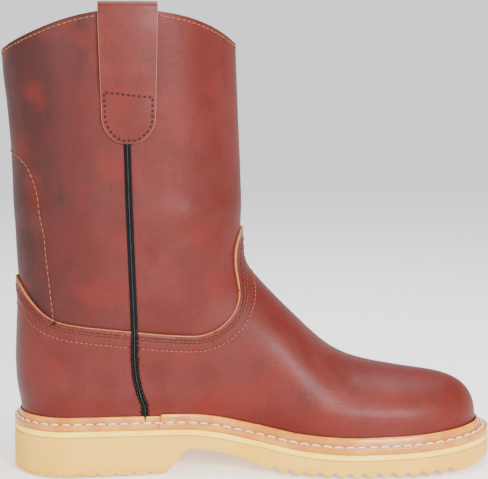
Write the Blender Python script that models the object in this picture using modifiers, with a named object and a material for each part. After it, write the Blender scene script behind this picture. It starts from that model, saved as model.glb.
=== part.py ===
"""Left pull-on work boot, empty and standing on its sole.

The toe points to +X, +Z is up and the inner (medial) side of the foot is -Y.
The origin is the centre of the heel's tread, on the floor.  Every height and
width comes from the named sizes below and from short tables of shares.
"""
import math

import bmesh
import bpy
import numpy as np
from mathutils import Vector

# Sizes of the whole boot, in metres
SOLE_LENGTH = 0.305
BALL_WIDTH = 0.110
HEEL_WIDTH = 0.075
BOOT_HEIGHT = 0.286
INSTEP_HEIGHT = 0.134
SHAFT_DEPTH = 0.143
SHAFT_WIDTH = 0.098
ANKLE_WIDTH = 0.085
COLLAR_DIP = 0.023

# Sizes of the sole
HEEL_HEIGHT = 0.0255
FOREFOOT_HEIGHT = 0.0113
TOE_SPRING = 0.005
ARCH_HEIGHT = 0.0150
MIDSOLE_THICKNESS = 0.0037
WELT_THICKNESS = 0.0036
RIB_HEIGHT = 0.0052
REAR_RIB_HEIGHT = 0.0042
INSOLE_THICKNESS = 0.0040
WELT_MARGIN = 0.0105
REAR_WELT_MARGIN = 0.0068
TOE_MARGIN = 0.0106
TOE_ROUNDING = 0.060
SOLE_EDGE_ROUND = 0.0026

# Sizes of the leather
UPPER_WALL = 0.0022
OVERLAY_THICKNESS = 0.0016
FEATHER_BULGE = 0.0026
SHAFT_SHIFT = 0.0020

# Sizes of the pull straps and of the side seam's piping
STRAP_WIDTH = 0.035
STRAP_TAPER = 0.004
STRAP_LENGTH = 0.079
STRAP_INNER_LENGTH = 0.040
STRAP_THICKNESS = 0.0020
STRAP_LOOP = 0.0040
PIPING_WIDTH = 0.0042
PIPING_HEIGHT = 0.0027

# Sizes of the tread
HEEL_NOTCHES = 6
HEEL_NOTCH_WIDTH = 0.0036
HEEL_NOTCH_DEPTH = 0.0020
FOREFOOT_GROOVES = 13
FOREFOOT_GROOVE_WIDTH = 0.0066
FOREFOOT_GROOVE_DEPTH = 0.0033

# Clearances
JOINT_GAP = 0.0003
OVERLAY_GAP = 0.0005
SEAM_GAP = 0.0004
INSOLE_GAP = 0.0008
WELT_GAP = 0.0010

HEEL_CENTRE = 0.125 * SOLE_LENGTH

# Outline of the sole from above.  station is a share of the sole's length,
# heel and ball are shares of half the heel's and half the ball's width, and
# centre is the middle line's place as a share of the ball's width.
PLAN_COLUMNS = ("station", "heel", "ball", "centre")
PLAN = (
    (0.00, 1.00, 0.000, 0.000),
    (0.12, 1.00, 0.000, 0.000),
    (0.25, 0.97, 0.000, 0.018),
    (0.38, 0.60, 0.240, 0.052),
    (0.50, 0.25, 0.610, 0.070),
    (0.60, 0.00, 0.935, 0.060),
    (0.68, 0.00, 0.990, 0.040),
    (0.78, 0.00, 0.930, 0.007),
    (0.86, 0.00, 0.850, -0.025),
    (0.93, 0.00, 0.810, -0.045),
    (1.00, 0.00, 0.790, -0.055),
)

# Side of the sole.  drop is the share of the step from forefoot to heel,
# top_spring and ground_spring are shares of the toe spring.
SOLE_COLUMNS = ("station", "drop", "top_spring", "ground_spring")
SOLE_SIDE = (
    (0.00, 1.00, 0.00, 0.00),
    (0.15, 0.99, 0.00, 0.00),
    (0.30, 0.93, 0.00, 0.00),
    (0.40, 0.82, 0.00, 0.00),
    (0.50, 0.44, 0.00, 0.00),
    (0.58, 0.14, 0.00, 0.00),
    (0.66, 0.01, 0.00, 0.00),
    (0.75, 0.00, 0.03, 0.00),
    (0.85, 0.00, 0.25, 0.08),
    (0.93, 0.00, 0.60, 0.42),
    (1.00, 0.00, 0.95, 1.00),
)

# Underside of the arch, from the heel's breast to the forefoot's tread.
# station is a share of the sole's length and rise of the arch's height.
ARCH_COLUMNS = ("station", "rise")
ARCH = (
    (0.314, 0.00),
    (0.360, 0.97),
    (0.385, 1.00),
    (0.410, 0.94),
    (0.446, 0.77),
    (0.478, 0.58),
    (0.505, 0.38),
    (0.530, 0.20),
    (0.560, 0.06),
    (0.590, 0.00),
)

# Front line of the upper, from the toe over the instep to the collar.
# The place along the boot is length * SOLE_LENGTH + depth * SHAFT_DEPTH and
# the height is instep * INSTEP_HEIGHT + boot * BOOT_HEIGHT.
FRONT_COLUMNS = ("length", "depth", "instep", "boot")
FRONT_LINE = (
    (0.9652, 0.000, 0.140, 0.000),
    (0.9648, 0.000, 0.235, 0.000),
    (0.9564, 0.000, 0.312, 0.000),
    (0.9341, 0.000, 0.372, 0.000),
    (0.8908, 0.000, 0.410, 0.000),
    (0.8144, 0.000, 0.433, 0.000),
    (0.7357, 0.000, 0.464, 0.000),
    (0.6833, 0.000, 0.507, 0.000),
    (0.6393, 0.000, 0.574, 0.000),
    (0.5751, 0.000, 0.713, 0.000),
    (0.5115, 0.000, 0.864, 0.000),
    (0.4816, 0.000, 0.959, 0.000),
    (0.2370, 0.507, 0.600, 0.220),
    (0.0000, 1.018, 0.000, 0.580),
    (0.0000, 1.012, 0.000, 0.680),
    (0.0000, 1.003, 0.000, 0.800),
    (0.0000, 0.994, 0.000, 0.920),
    (0.0000, 0.985, 0.000, 1.060),
)

# Back line of the upper, from the feather up to the collar, in the same terms.
BACK_COLUMNS = ("length", "instep", "boot")
BACK_LINE = (
    (0.0225, 0.140, 0.000),
    (0.0222, 0.280, 0.000),
    (0.0183, 0.350, 0.000),
    (0.0137, 0.420, 0.000),
    (0.0120, 0.530, 0.000),
    (0.0150, 0.690, 0.000),
    (0.0170, 0.790, 0.000),
    (0.0135, 0.920, 0.000),
    (0.0100, 0.500, 0.270),
    (0.0062, 0.000, 0.600),
    (0.0043, 0.000, 0.700),
    (-0.0020, 0.000, 0.800),
    (-0.0100, 0.000, 0.895),
    (-0.0106, 0.000, 1.060),
)

# Top edge of the collar: place is a share of the way from back to front,
# dip a share of the collar's dip.
COLLAR_COLUMNS = ("place", "dip")
COLLAR = (
    (0.00, 1.00),
    (0.06, 0.80),
    (0.15, 0.55),
    (0.27, 0.27),
    (0.42, 0.05),
    (0.55, 0.00),
    (0.68, 0.05),
    (0.84, 0.27),
    (0.94, 0.56),
    (1.00, 0.82),
)

# Upper edge of the vamp and of the heel's foxing, from the back seam to the
# front peak: instep is a share of the instep's height, and place a share of
# the way from the upper's back line to its front line at that height.
VAMP_COLUMNS = ("place", "instep")
VAMP_LINE = (
    (0.0000, 0.912),
    (0.0558, 0.822),
    (0.1117, 0.757),
    (0.1665, 0.727),
    (0.2366, 0.712),
    (0.3396, 0.695),
    (0.4202, 0.682),
    (0.5052, 0.667),
    (0.6035, 0.656),
    (0.6576, 0.662),
    (0.7253, 0.692),
    (0.7997, 0.745),
    (0.8693, 0.812),
    (0.9156, 0.880),
    (0.9500, 0.960),
    (0.9654, 1.045),
    (0.9854, 1.105),
    (1.0000, 1.135),
)

# Side seam with its piping, from under the strap down to the welt.
SEAM_COLUMNS = ("length", "instep")
SIDE_SEAM = (
    (0.2450, 1.560),
    (0.2475, 1.280),
    (0.2510, 1.000),
    (0.2545, 0.690),
    (0.2550, 0.510),
    (0.2615, 0.410),
    (0.2730, 0.325),
)

# Where the section planes of the instep meet, as shares of the sole's
# length and of the boot's height.
FAN_PLACE_SHARE = 0.705
FAN_LEVEL_SHARE = 0.700

# How the width passes from the foot to the shaft, in shares of INSTEP_HEIGHT
FOOT_END_SHARE = 0.30
SHAFT_START_SHARE = 1.15
HEEL_ROUNDING = 0.44
SHAFT_BACK_ROUNDING = 0.43
SHAFT_FRONT_ROUNDING = 0.46
SECTION_FULLNESS = 2.15

# Front welt and rear welt meet beside the arch, at this share of the length
WELT_JOINT_SHARE = 0.300

# Shares of the sole's length in which its heel and its toe turn round
ROUND_HEEL_SHARE = 0.11
ROUND_TOE_SHARE = 0.14

# Flat root of a groove, and the cutter's mouth under the tread, as shares of
# the groove's width
GROOVE_ROOT_SHARE = 0.24
GROOVE_MOUTH_SHARE = 1.30

# First and last heel notch and forefoot groove, as shares of the length
HEEL_TREAD_SHARES = (0.108, 0.284)
FOREFOOT_TREAD_SHARES = (0.539, 0.895)

# How far an overlay's outline runs past the boot, in sole lengths
OUTLINE_SHARE = 0.1

# Place of the strap's middle ahead of the side seam, and of the upper's
# first row behind its tip
STRAP_SHIFT = 0.0010
TIP_STEP = 0.0002

# Points of one mesh that are closer than this are one point
MERGE_DISTANCE = 0.00002

LEATHER = (0.33, 0.075, 0.055)
LEATHER_LINING = (0.30, 0.08, 0.06)
STRAP_LEATHER = (0.28, 0.060, 0.045)
PIPING_BLACK = (0.012, 0.011, 0.011)
WELT_TAN = (0.74, 0.42, 0.19)
MIDSOLE_YELLOW = (0.88, 0.68, 0.30)
OUTSOLE_BEIGE = (0.75, 0.54, 0.30)
INSOLE_TAN = (0.55, 0.38, 0.24)


def column(table, columns, name):
    """One named column of a table, as an array."""
    return np.array([row[columns.index(name)] for row in table])


def smooth_value(places, values, at):
    """Cubic Hermite curve through a table's rows, with the rows' mean slopes."""
    at = np.clip(at, places[0], places[-1])
    slopes = np.gradient(values, places)
    low = np.clip(np.searchsorted(places, at, side="right") - 1, 0, len(places) - 2)
    step = places[low + 1] - places[low]
    t = (at - places[low]) / step
    start = (1 + 2 * t) * (1 - t) ** 2 * values[low] + t * (1 - t) ** 2 * step * slopes[low]
    end = t * t * (3 - 2 * t) * values[low + 1] + t * t * (t - 1) * step * slopes[low + 1]
    return start + end


def smooth_curve(first, second, samples=24):
    """Catmull-Rom curve through points, with many samples on each span."""
    points = np.column_stack([first, second])
    ends = np.vstack([2 * points[0] - points[1], points, 2 * points[-1] - points[-2]])
    t = np.linspace(0, 1, samples, endpoint=False)[:, None]
    spans = []
    for index in range(len(points) - 1):
        a, b, c, d = ends[index:index + 4]
        spans.append(0.5 * (2 * b + (c - a) * t + (2 * a - 5 * b + 4 * c - d) * t ** 2
                            + (3 * b - a - 3 * c + d) * t ** 3))
    spans.append(points[-1:])
    return np.vstack(spans)


def ease(value):
    """Smooth step from 0 to 1."""
    value = np.clip(value, 0, 1)
    return value * value * (3 - 2 * value)


def rounding(distance, radius, fullness=2.0):
    """Share of the full width at a distance from the edge of a round side."""
    t = np.clip(distance / radius, 0, 1)
    return (1 - (1 - t) ** fullness) ** (1 / fullness)


def mix(low, high, share):
    """Value a share of the way from low to high."""
    return low + (high - low) * share


# Outline of the sole and heights of its layers


def plan_half(s):
    """Half width of the sole before its ends are rounded."""
    places = column(PLAN, PLAN_COLUMNS, "station") * SOLE_LENGTH
    heel = column(PLAN, PLAN_COLUMNS, "heel") * HEEL_WIDTH / 2
    ball = column(PLAN, PLAN_COLUMNS, "ball") * BALL_WIDTH / 2
    return smooth_value(places, heel + ball, s)


def plan_centre(s):
    """Place of the sole's middle line, which gives the left curve."""
    places = column(PLAN, PLAN_COLUMNS, "station") * SOLE_LENGTH
    return smooth_value(places, column(PLAN, PLAN_COLUMNS, "centre") * BALL_WIDTH, s)


def sole_side(s, name):
    """One column of the sole's side table at a station."""
    places = column(SOLE_SIDE, SOLE_COLUMNS, "station") * SOLE_LENGTH
    return smooth_value(places, column(SOLE_SIDE, SOLE_COLUMNS, name), s)


def ground(s):
    """Height of the tread's lowest surface, with the toe spring."""
    return np.maximum(TOE_SPRING * sole_side(s, "ground_spring"), 0)


def outsole_top(s):
    """Height of the outsole's upper face."""
    step = (HEEL_HEIGHT - FOREFOOT_HEIGHT) * sole_side(s, "drop")
    return FOREFOOT_HEIGHT + step + TOE_SPRING * sole_side(s, "top_spring")


def midsole_top(s):
    """Height of the midsole's upper face."""
    return outsole_top(s) + JOINT_GAP + MIDSOLE_THICKNESS


def feather(s):
    """Height of the upper's lower edge, on the midsole."""
    return midsole_top(s) + JOINT_GAP


def welt_ledge(s):
    """Height of the welt's stitched ledge."""
    return feather(s) + WELT_THICKNESS


def round_ended(heel_steps, middle_steps, toe_steps):
    """Shares of a length, close together at both ends, where it is round.

    The first and the last lie a quarter step inside the ends, so that a loft
    through them closes with a small flat cap."""
    heel = ROUND_HEEL_SHARE * (1 - np.cos(np.pi / 2 * (np.arange(heel_steps) + 0.25) / heel_steps))
    middle = np.linspace(ROUND_HEEL_SHARE, 1 - ROUND_TOE_SHARE, middle_steps + 1)
    toe = 1 - ROUND_TOE_SHARE * (1 - np.cos(np.pi / 2 * (np.arange(toe_steps) + 0.25) / toe_steps))
    return np.concatenate([heel, middle, toe[::-1]])


def sole_outline(share, inset=0.0, toe_inset=0.0):
    """Station, inner and outer side of the sole's outline at shares of its length."""
    span = SOLE_LENGTH - 2 * inset - toe_inset
    s = inset + span * share
    heel_end = rounding(s - inset, HEEL_WIDTH / 2 - inset)
    toe_end = rounding(SOLE_LENGTH - inset - toe_inset - s, TOE_ROUNDING - inset)
    half = (plan_half(s) - inset) * heel_end * toe_end
    return s, plan_centre(s) - half, plan_centre(s) + half


# Side view of the upper


def front_curve():
    """Front line of the upper from the toe to above the collar."""
    length = column(FRONT_LINE, FRONT_COLUMNS, "length") * SOLE_LENGTH
    depth = column(FRONT_LINE, FRONT_COLUMNS, "depth") * SHAFT_DEPTH
    instep = column(FRONT_LINE, FRONT_COLUMNS, "instep") * INSTEP_HEIGHT
    boot = column(FRONT_LINE, FRONT_COLUMNS, "boot") * BOOT_HEIGHT
    return smooth_curve(length + depth, instep + boot)


def back_curve():
    """Back line of the upper from the feather to above the collar."""
    length = column(BACK_LINE, BACK_COLUMNS, "length") * SOLE_LENGTH
    instep = column(BACK_LINE, BACK_COLUMNS, "instep") * INSTEP_HEIGHT
    boot = column(BACK_LINE, BACK_COLUMNS, "boot") * BOOT_HEIGHT
    return smooth_curve(length, instep + boot)


FRONT = front_curve()
BACK = back_curve()
FAN_S = FAN_PLACE_SHARE * SOLE_LENGTH
FAN_Z = FAN_LEVEL_SHARE * BOOT_HEIGHT
TIP_S = FRONT[:, 0].max()


def back_place(z):
    """Station of the upper's back line at a height."""
    return np.interp(z, BACK[:, 1], BACK[:, 0])


def front_place(z):
    """Station of the upper's front line at a height."""
    return np.interp(z, FRONT[:, 1], FRONT[:, 0])


def top_height(s):
    """Height of the vamp's top line ahead of the fan's centre."""
    rising = FRONT[::-1]
    keep = np.maximum.accumulate(rising[:, 0]) == rising[:, 0]
    return np.interp(s, rising[keep, 0], rising[keep, 1])


def polar(s, z):
    """Angle under the horizontal and distance, seen from the fan's centre."""
    return np.arctan2(FAN_Z - z, FAN_S - s), np.hypot(FAN_Z - z, FAN_S - s)


def throat_reach(angle):
    """Distance from the fan's centre to the front line at an angle."""
    angles, reaches = polar(FRONT[::-1, 0], FRONT[::-1, 1])
    keep = np.maximum.accumulate(angles) == angles
    return np.interp(angle, angles[keep], reaches[keep])


def rim_reach(angle):
    """Distance from the fan's centre to the feather or the back line."""
    s = np.linspace(FAN_S, back_place(feather(0.0)), 160)
    z = np.linspace(feather(s[-1]), FAN_Z, 160)
    angles, reaches = polar(np.concatenate([s, back_place(z)]), np.concatenate([feather(s), z]))
    order = np.argsort(angles)
    return np.interp(angle, angles[order], reaches[order])


def front_rounding(s, z):
    """Share of the full width that the round front or top leaves."""
    angle, reach = polar(s, z)
    height = top_height(s) - feather(s)
    over_foot = rounding(top_height(s) - z, np.maximum(height, 1e-5), SECTION_FULLNESS)
    over_shaft = rounding(front_place(z) - s, SHAFT_FRONT_ROUNDING * SHAFT_DEPTH)
    turn = ease(1 - np.clip(angle, 0, np.pi / 2) / (np.pi / 2))
    fan_height = top_height(FAN_S) - feather(FAN_S)
    radius = mix(fan_height, SHAFT_FRONT_ROUNDING * SHAFT_DEPTH, turn)
    fullness = mix(SECTION_FULLNESS, 2.0, turn)
    over_fan = rounding(reach - throat_reach(angle), radius, fullness)
    return np.where(s >= FAN_S, over_foot, np.where(z >= FAN_Z, over_shaft, over_fan))


def upper_centre_half(s, z):
    """Middle line and half width of the upper's outer face in side view.

    The half width is the foot's near the sole and the shaft's above the
    ankle, times the rounding of the front or top line and of the back line."""
    climb = ease((z / INSTEP_HEIGHT - FOOT_END_SHARE) / (SHAFT_START_SHARE - FOOT_END_SHARE))
    toward_ball = ease((s / SOLE_LENGTH - 0.30) / 0.25)
    margin = mix(REAR_WELT_MARGIN, WELT_MARGIN, toward_ball)
    toe_end = rounding(TIP_S - s, TOE_ROUNDING - TOE_MARGIN)
    bulge = FEATHER_BULGE * ease((z - welt_ledge(s) - RIB_HEIGHT) / (3 * RIB_HEIGHT))
    foot = (plan_half(s) - margin + bulge) * toe_end
    rise = np.clip((z - INSTEP_HEIGHT) / (BOOT_HEIGHT - INSTEP_HEIGHT), 0, 1)
    shaft = mix(ANKLE_WIDTH, SHAFT_WIDTH, rise) / 2
    radius = mix(HEEL_ROUNDING * HEEL_WIDTH, SHAFT_BACK_ROUNDING * SHAFT_DEPTH, climb)
    behind = rounding(s - back_place(z), radius)
    half = mix(foot, shaft, climb) * front_rounding(s, z) * behind
    return mix(plan_centre(s), SHAFT_SHIFT, climb), half


def upper_point(s, z, side):
    """Points of the upper's outer face; side is -1 inside and +1 outside."""
    centre, half = upper_centre_half(s, z)
    return np.stack([s - HEEL_CENTRE, centre + side * half, z], axis=-1)


def collar_height(s):
    """Height of the collar's edge at a station."""
    back = back_place(BOOT_HEIGHT)
    place = (s - back) / (front_place(BOOT_HEIGHT) - back)
    places = column(COLLAR, COLLAR_COLUMNS, "place")
    return BOOT_HEIGHT - COLLAR_DIP * smooth_value(places, column(COLLAR, COLLAR_COLUMNS, "dip"), place)


# Meshes and objects


def collection(name):
    """A new collection in the scene."""
    group = bpy.data.collections.new(name)
    bpy.context.scene.collection.children.link(group)
    return group


def material(name, colour, roughness):
    """A Principled material with a flat colour."""
    new = bpy.data.materials.new(name)
    new.use_nodes = True
    shader = new.node_tree.nodes["Principled BSDF"]
    shader.inputs["Base Color"].default_value = (*colour, 1.0)
    shader.inputs["Roughness"].default_value = roughness
    return new


def add_object(name, mesh, finish, group):
    """Link a mesh as a named object with its own material."""
    mesh.materials.append(finish)
    new = bpy.data.objects.new(name, mesh)
    group.objects.link(new)
    return new


def grid_mesh(name, points, wrap=False):
    """Mesh of a grid of points, with doubled points merged.

    wrap joins the last column to the first."""
    rows, columns = points.shape[:2]
    index = np.arange(rows * columns).reshape(rows, columns)
    if wrap:
        index = np.hstack([index, index[:, :1]])
    quads = np.stack([index[:-1, :-1], index[:-1, 1:], index[1:, 1:], index[1:, :-1]], axis=-1)
    mesh = bpy.data.meshes.new(name)
    mesh.from_pydata(points.reshape(-1, 3).tolist(), [], quads.reshape(-1, 4).tolist())
    tidy_mesh(mesh)
    return mesh


def tidy_mesh(mesh, caps=False):
    """Merge doubles, close open ends if asked and turn the faces outwards."""
    work = bmesh.new()
    work.from_mesh(mesh)
    bmesh.ops.remove_doubles(work, verts=work.verts, dist=MERGE_DISTANCE)
    bmesh.ops.dissolve_degenerate(work, edges=work.edges, dist=MERGE_DISTANCE / 2)
    if caps:
        bmesh.ops.holes_fill(work, edges=work.edges, sides=0)
    bmesh.ops.recalc_face_normals(work, faces=work.faces)
    work.to_mesh(mesh)
    work.free()


def loft(name, sections, finish, group):
    """Closed solid through sections, each a ring of points, with end caps."""
    mesh = grid_mesh(name, sections, wrap=True)
    tidy_mesh(mesh, caps=True)
    new = add_object(name, mesh, finish, group)
    mesh.shade_smooth()
    mesh.set_sharp_from_angle(angle=math.radians(40))
    return new


def face_away(mesh, inner_point):
    """Turn an open surface so that its faces look away from a point."""
    work = bmesh.new()
    work.from_mesh(mesh)
    bmesh.ops.recalc_face_normals(work, faces=work.faces)
    looks = sum(face.normal.dot(face.calc_center_median() - inner_point) * face.calc_area()
                for face in work.faces)
    if looks < 0:
        bmesh.ops.reverse_faces(work, faces=work.faces)
    work.to_mesh(mesh)
    work.free()


def lift(mesh, distance):
    """Move a surface along its own normals."""
    work = bmesh.new()
    work.from_mesh(mesh)
    work.normal_update()
    moves = [vertex.normal.copy() for vertex in work.verts]
    for vertex, move in zip(work.verts, moves):
        vertex.co += move * distance
    work.to_mesh(mesh)
    work.free()


def thicken(new, thickness, offset):
    """Give an open surface its wall: offset -1 is inwards and +1 outwards."""
    solid = new.modifiers.new("wall", "SOLIDIFY")
    solid.thickness = thickness
    solid.offset = offset
    solid.use_even_offset = True
    solid.use_rim = True
    new.data.shade_smooth()


# Sole


def sole_sections(shares, levels):
    """Sections through a layer of the sole.

    levels lists (inset, toe inset, height function) from the bottom edge up;
    each section is a ring over the bottom face, up one side and back."""
    inner = []
    outer = []
    for inset, toe_inset, height in levels:
        s, low, high = sole_outline(shares, inset, toe_inset)
        z = height(s)
        inner.append(np.column_stack([s - HEEL_CENTRE, low, z]))
        outer.append(np.column_stack([s - HEEL_CENTRE, high, z]))
    bottom_middle = mix(inner[0], outer[0], 0.5)
    top_middle = mix(inner[-1], outer[-1], 0.5)
    ring = [bottom_middle, *outer, top_middle, *reversed(inner)]
    return np.stack(ring, axis=1)


def extruded_cutter(name, profile, group):
    """Cutter across the boot: a flat outline in side view, extruded sideways."""
    curve = bpy.data.curves.new(name, "CURVE")
    curve.dimensions = "2D"
    curve.fill_mode = "BOTH"
    curve.extrude = BALL_WIDTH
    spline = curve.splines.new("POLY")
    spline.points.add(len(profile) - 1)
    for point, (s, z) in zip(spline.points, profile):
        point.co = (s - HEEL_CENTRE, z, 0.0, 1.0)
    spline.use_cyclic_u = True
    guide = bpy.data.objects.new(name + "_guide", curve)
    guide.rotation_euler = (math.radians(90), 0, 0)
    group.objects.link(guide)
    bpy.context.view_layer.update()
    graph = bpy.context.evaluated_depsgraph_get()
    mesh = bpy.data.meshes.new_from_object(guide.evaluated_get(graph))
    mesh.transform(guide.matrix_world)
    bpy.data.objects.remove(guide)
    bpy.data.curves.remove(curve)
    return mesh


def join_meshes(name, meshes):
    """One mesh from several closed meshes that don't touch."""
    work = bmesh.new()
    for mesh in meshes:
        work.from_mesh(mesh)
    bmesh.ops.remove_doubles(work, verts=work.verts, dist=MERGE_DISTANCE)
    bmesh.ops.recalc_face_normals(work, faces=work.faces)
    joined = bpy.data.meshes.new(name)
    work.to_mesh(joined)
    work.free()
    return joined


def groove_profile(centre, width, depth):
    """Wedge that opens downwards under the tread at one station."""
    base = float(underside(np.array(centre)))
    below = base - depth / 2
    root = GROOVE_ROOT_SHARE / 2 * width
    mouth = GROOVE_MOUTH_SHARE / 2 * width
    return [(centre - mouth, below), (centre + mouth, below),
            (centre + width / 2, base), (centre + root, base + depth),
            (centre - root, base + depth), (centre - width / 2, base)]


def underside(s):
    """Height of the sole's underside, with the arch and the toe spring."""
    places = column(ARCH, ARCH_COLUMNS, "station") * SOLE_LENGTH
    rise = np.interp(s, places, column(ARCH, ARCH_COLUMNS, "rise"), left=0, right=0) * ARCH_HEIGHT
    return np.maximum(rise, ground(s))


def tread_stations():
    """Stations of the heel's notches and of the forefoot's grooves."""
    heel = np.linspace(*HEEL_TREAD_SHARES, HEEL_NOTCHES) * SOLE_LENGTH
    forefoot = np.linspace(*FOREFOOT_TREAD_SHARES, FOREFOOT_GROOVES) * SOLE_LENGTH
    return heel, forefoot


def build_outsole(group, cutters):
    """One rubber unit: heel block, arch and forefoot, with its tread cut in."""
    edge = SOLE_EDGE_ROUND
    levels = [
        (edge, edge, ground),
        (0.3 * edge, 0.3 * edge, lambda s: ground(s) + 0.9 * edge),
        (0.0, 0.0, outsole_top),
    ]
    sections = sole_sections(round_ended(6, 26, 7), levels)
    outsole = loft("outsole", sections, material("outsole_rubber", OUTSOLE_BEIGE, 0.7), group)
    places = column(ARCH, ARCH_COLUMNS, "station") * SOLE_LENGTH
    rises = column(ARCH, ARCH_COLUMNS, "rise") * ARCH_HEIGHT
    under = -0.5 * HEEL_HEIGHT
    arch = [(places[0], under), *zip(places, rises), (places[-1], under)]
    arch_mesh = extruded_cutter("arch", arch, cutters)
    arch_cutter = bpy.data.objects.new("arch_cutter", join_meshes("arch_cutter", [arch_mesh]))
    heel, forefoot = tread_stations()
    grooves = [extruded_cutter("groove", groove_profile(s, HEEL_NOTCH_WIDTH, HEEL_NOTCH_DEPTH), cutters)
               for s in heel]
    grooves += [extruded_cutter("groove", groove_profile(s, FOREFOOT_GROOVE_WIDTH, FOREFOOT_GROOVE_DEPTH),
                                cutters) for s in forefoot]
    tread_cutter = bpy.data.objects.new("tread_cutter", join_meshes("tread_cutter", grooves))
    for cutter in (arch_cutter, tread_cutter):
        cutter.hide_render = True
        cutter.display_type = "WIRE"
        cutters.objects.link(cutter)
        cut = outsole.modifiers.new(cutter.name, "BOOLEAN")
        cut.operation = "DIFFERENCE"
        cut.solver = "EXACT"
        cut.object = cutter
    return outsole


def build_midsole(group):
    """Thin layer between outsole and welt, whose edge shows as a stripe."""
    levels = [
        (JOINT_GAP, 0.0, lambda s: outsole_top(s) + JOINT_GAP),
        (0.0, 0.0, lambda s: outsole_top(s) + JOINT_GAP + 0.3 * MIDSOLE_THICKNESS),
        (0.0, 0.0, lambda s: outsole_top(s) + JOINT_GAP + 0.7 * MIDSOLE_THICKNESS),
        (JOINT_GAP, 0.0, midsole_top),
    ]
    sections = sole_sections(round_ended(5, 24, 6), levels)
    return loft("midsole", sections, material("midsole_rubber", MIDSOLE_YELLOW, 0.6), group)


def feather_loop(shares, outwards):
    """Outline of the upper at its lower edge, moved outwards in plan.

    shares run 0 to 1 from the back along the inner side to the tip and 1 to 2
    back along the outer side."""
    back = back_place(feather(0.0))
    s = back + (TIP_S - back) * np.where(shares <= 1, shares, 2 - shares)
    side = np.where(shares <= 1, -1.0, 1.0)
    centre, half = upper_centre_half(s, feather(s))
    points = np.column_stack([s, centre + side * half])
    ahead = np.roll(points, -1, axis=0) - np.roll(points, 1, axis=0)
    ahead /= np.linalg.norm(ahead, axis=1)[:, None]
    normal = np.column_stack([ahead[:, 1], -ahead[:, 0]])
    return points + normal * outwards


def build_insole(group):
    """Board inside the upper, on the midsole."""
    shares = round_ended(5, 20, 6)
    inwards = UPPER_WALL + INSOLE_GAP
    loop = feather_loop(np.concatenate([shares, 2 - shares[::-1]]), -inwards)
    top_loop = feather_loop(np.concatenate([shares, 2 - shares[::-1]]), -inwards - INSOLE_GAP)
    s = mix(loop[:len(shares)], loop[:len(shares) - 1:-1], 0.5)[:, 0]
    rings = []
    for index in range(len(s)):
        low, high = loop[index], loop[-1 - index]
        low_top, high_top = top_loop[index], top_loop[-1 - index]
        middle = (s[index], mix(low[1], high[1], 0.5))
        base = float(feather(s[index]))
        top = base + INSOLE_THICKNESS
        ring = [(low, base), (middle, base), (high, base), (high_top, top), (middle, top), (low_top, top)]
        rings.append([(place[0] - HEEL_CENTRE, place[1], z) for place, z in ring])
    return loft("insole", np.array(rings), material("insole_board", INSOLE_TAN, 0.8), group)


def welt_sections(shares, rib_height):
    """Sections of the welt: a flat ledge outside and a raised rib inside.

    Each profile point lists its share of the way in, its share of the
    welt's thickness and its share of the rib's height."""
    outwards = OVERLAY_GAP + OVERLAY_THICKNESS + WELT_GAP
    fine = round_ended(30, 120, 30)
    around = np.concatenate([fine, 2 - fine[::-1]])
    loop = feather_loop(around, outwards)
    inner = np.column_stack([np.interp(shares % 2, around, loop[:, 0], period=2),
                             np.interp(shares % 2, around, loop[:, 1], period=2)])
    one_way = np.where(shares % 2 <= 1, shares % 2, 2 - shares % 2)
    s, low, high = sole_outline(one_way, JOINT_GAP)
    outer = np.column_stack([s, np.where(shares % 2 <= 1, low, high)])
    profile = (
        (0.00, 0.0, 0.00), (0.00, 0.8, 0.00), (0.07, 1.0, 0.00), (0.50, 1.0, 0.00),
        (0.60, 0.9, 0.00), (0.68, 1.0, 0.50), (0.80, 1.0, 0.90), (0.90, 1.0, 1.00),
        (1.00, 1.0, 0.88), (1.00, 0.0, 0.00))
    points = []
    for way_in, thickness, rise in profile:
        flat = mix(outer, inner, way_in)
        z = feather(flat[:, 0]) + thickness * WELT_THICKNESS + rise * rib_height
        points.append(np.column_stack([flat[:, 0] - HEEL_CENTRE, flat[:, 1], z]))
    return np.stack(points, axis=1)


def build_welts(group):
    """Front welt round the toe and rear welt round the heel, butted together."""
    finish = material("welt_leather", WELT_TAN, 0.4)
    rear_finish = material("rear_welt_leather", WELT_TAN, 0.4)
    front_joint = WELT_JOINT_SHARE + 0.5 * SEAM_GAP / SOLE_LENGTH
    rear_joint = WELT_JOINT_SHARE - 0.5 * SEAM_GAP / SOLE_LENGTH
    bend = np.linspace(0, 1, 9)[:-1]
    front = np.concatenate([np.linspace(front_joint, 1 - ROUND_TOE_SHARE, 14),
                            1 - ROUND_TOE_SHARE * (1 - np.sin(np.pi / 2 * bend[1:]))])
    rear = np.concatenate([ROUND_HEEL_SHARE * (1 - np.cos(np.pi / 2 * bend)),
                           np.linspace(ROUND_HEEL_SHARE, rear_joint, 6)])
    around_toe = np.concatenate([front, [1.0], 2 - front[::-1]])
    around_heel = np.concatenate([-rear[:0:-1], rear])
    loft("welt", welt_sections(around_toe, RIB_HEIGHT), finish, group)
    loft("rear_welt", welt_sections(around_heel, REAR_RIB_HEIGHT), rear_finish, group)


# Upper


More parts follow.
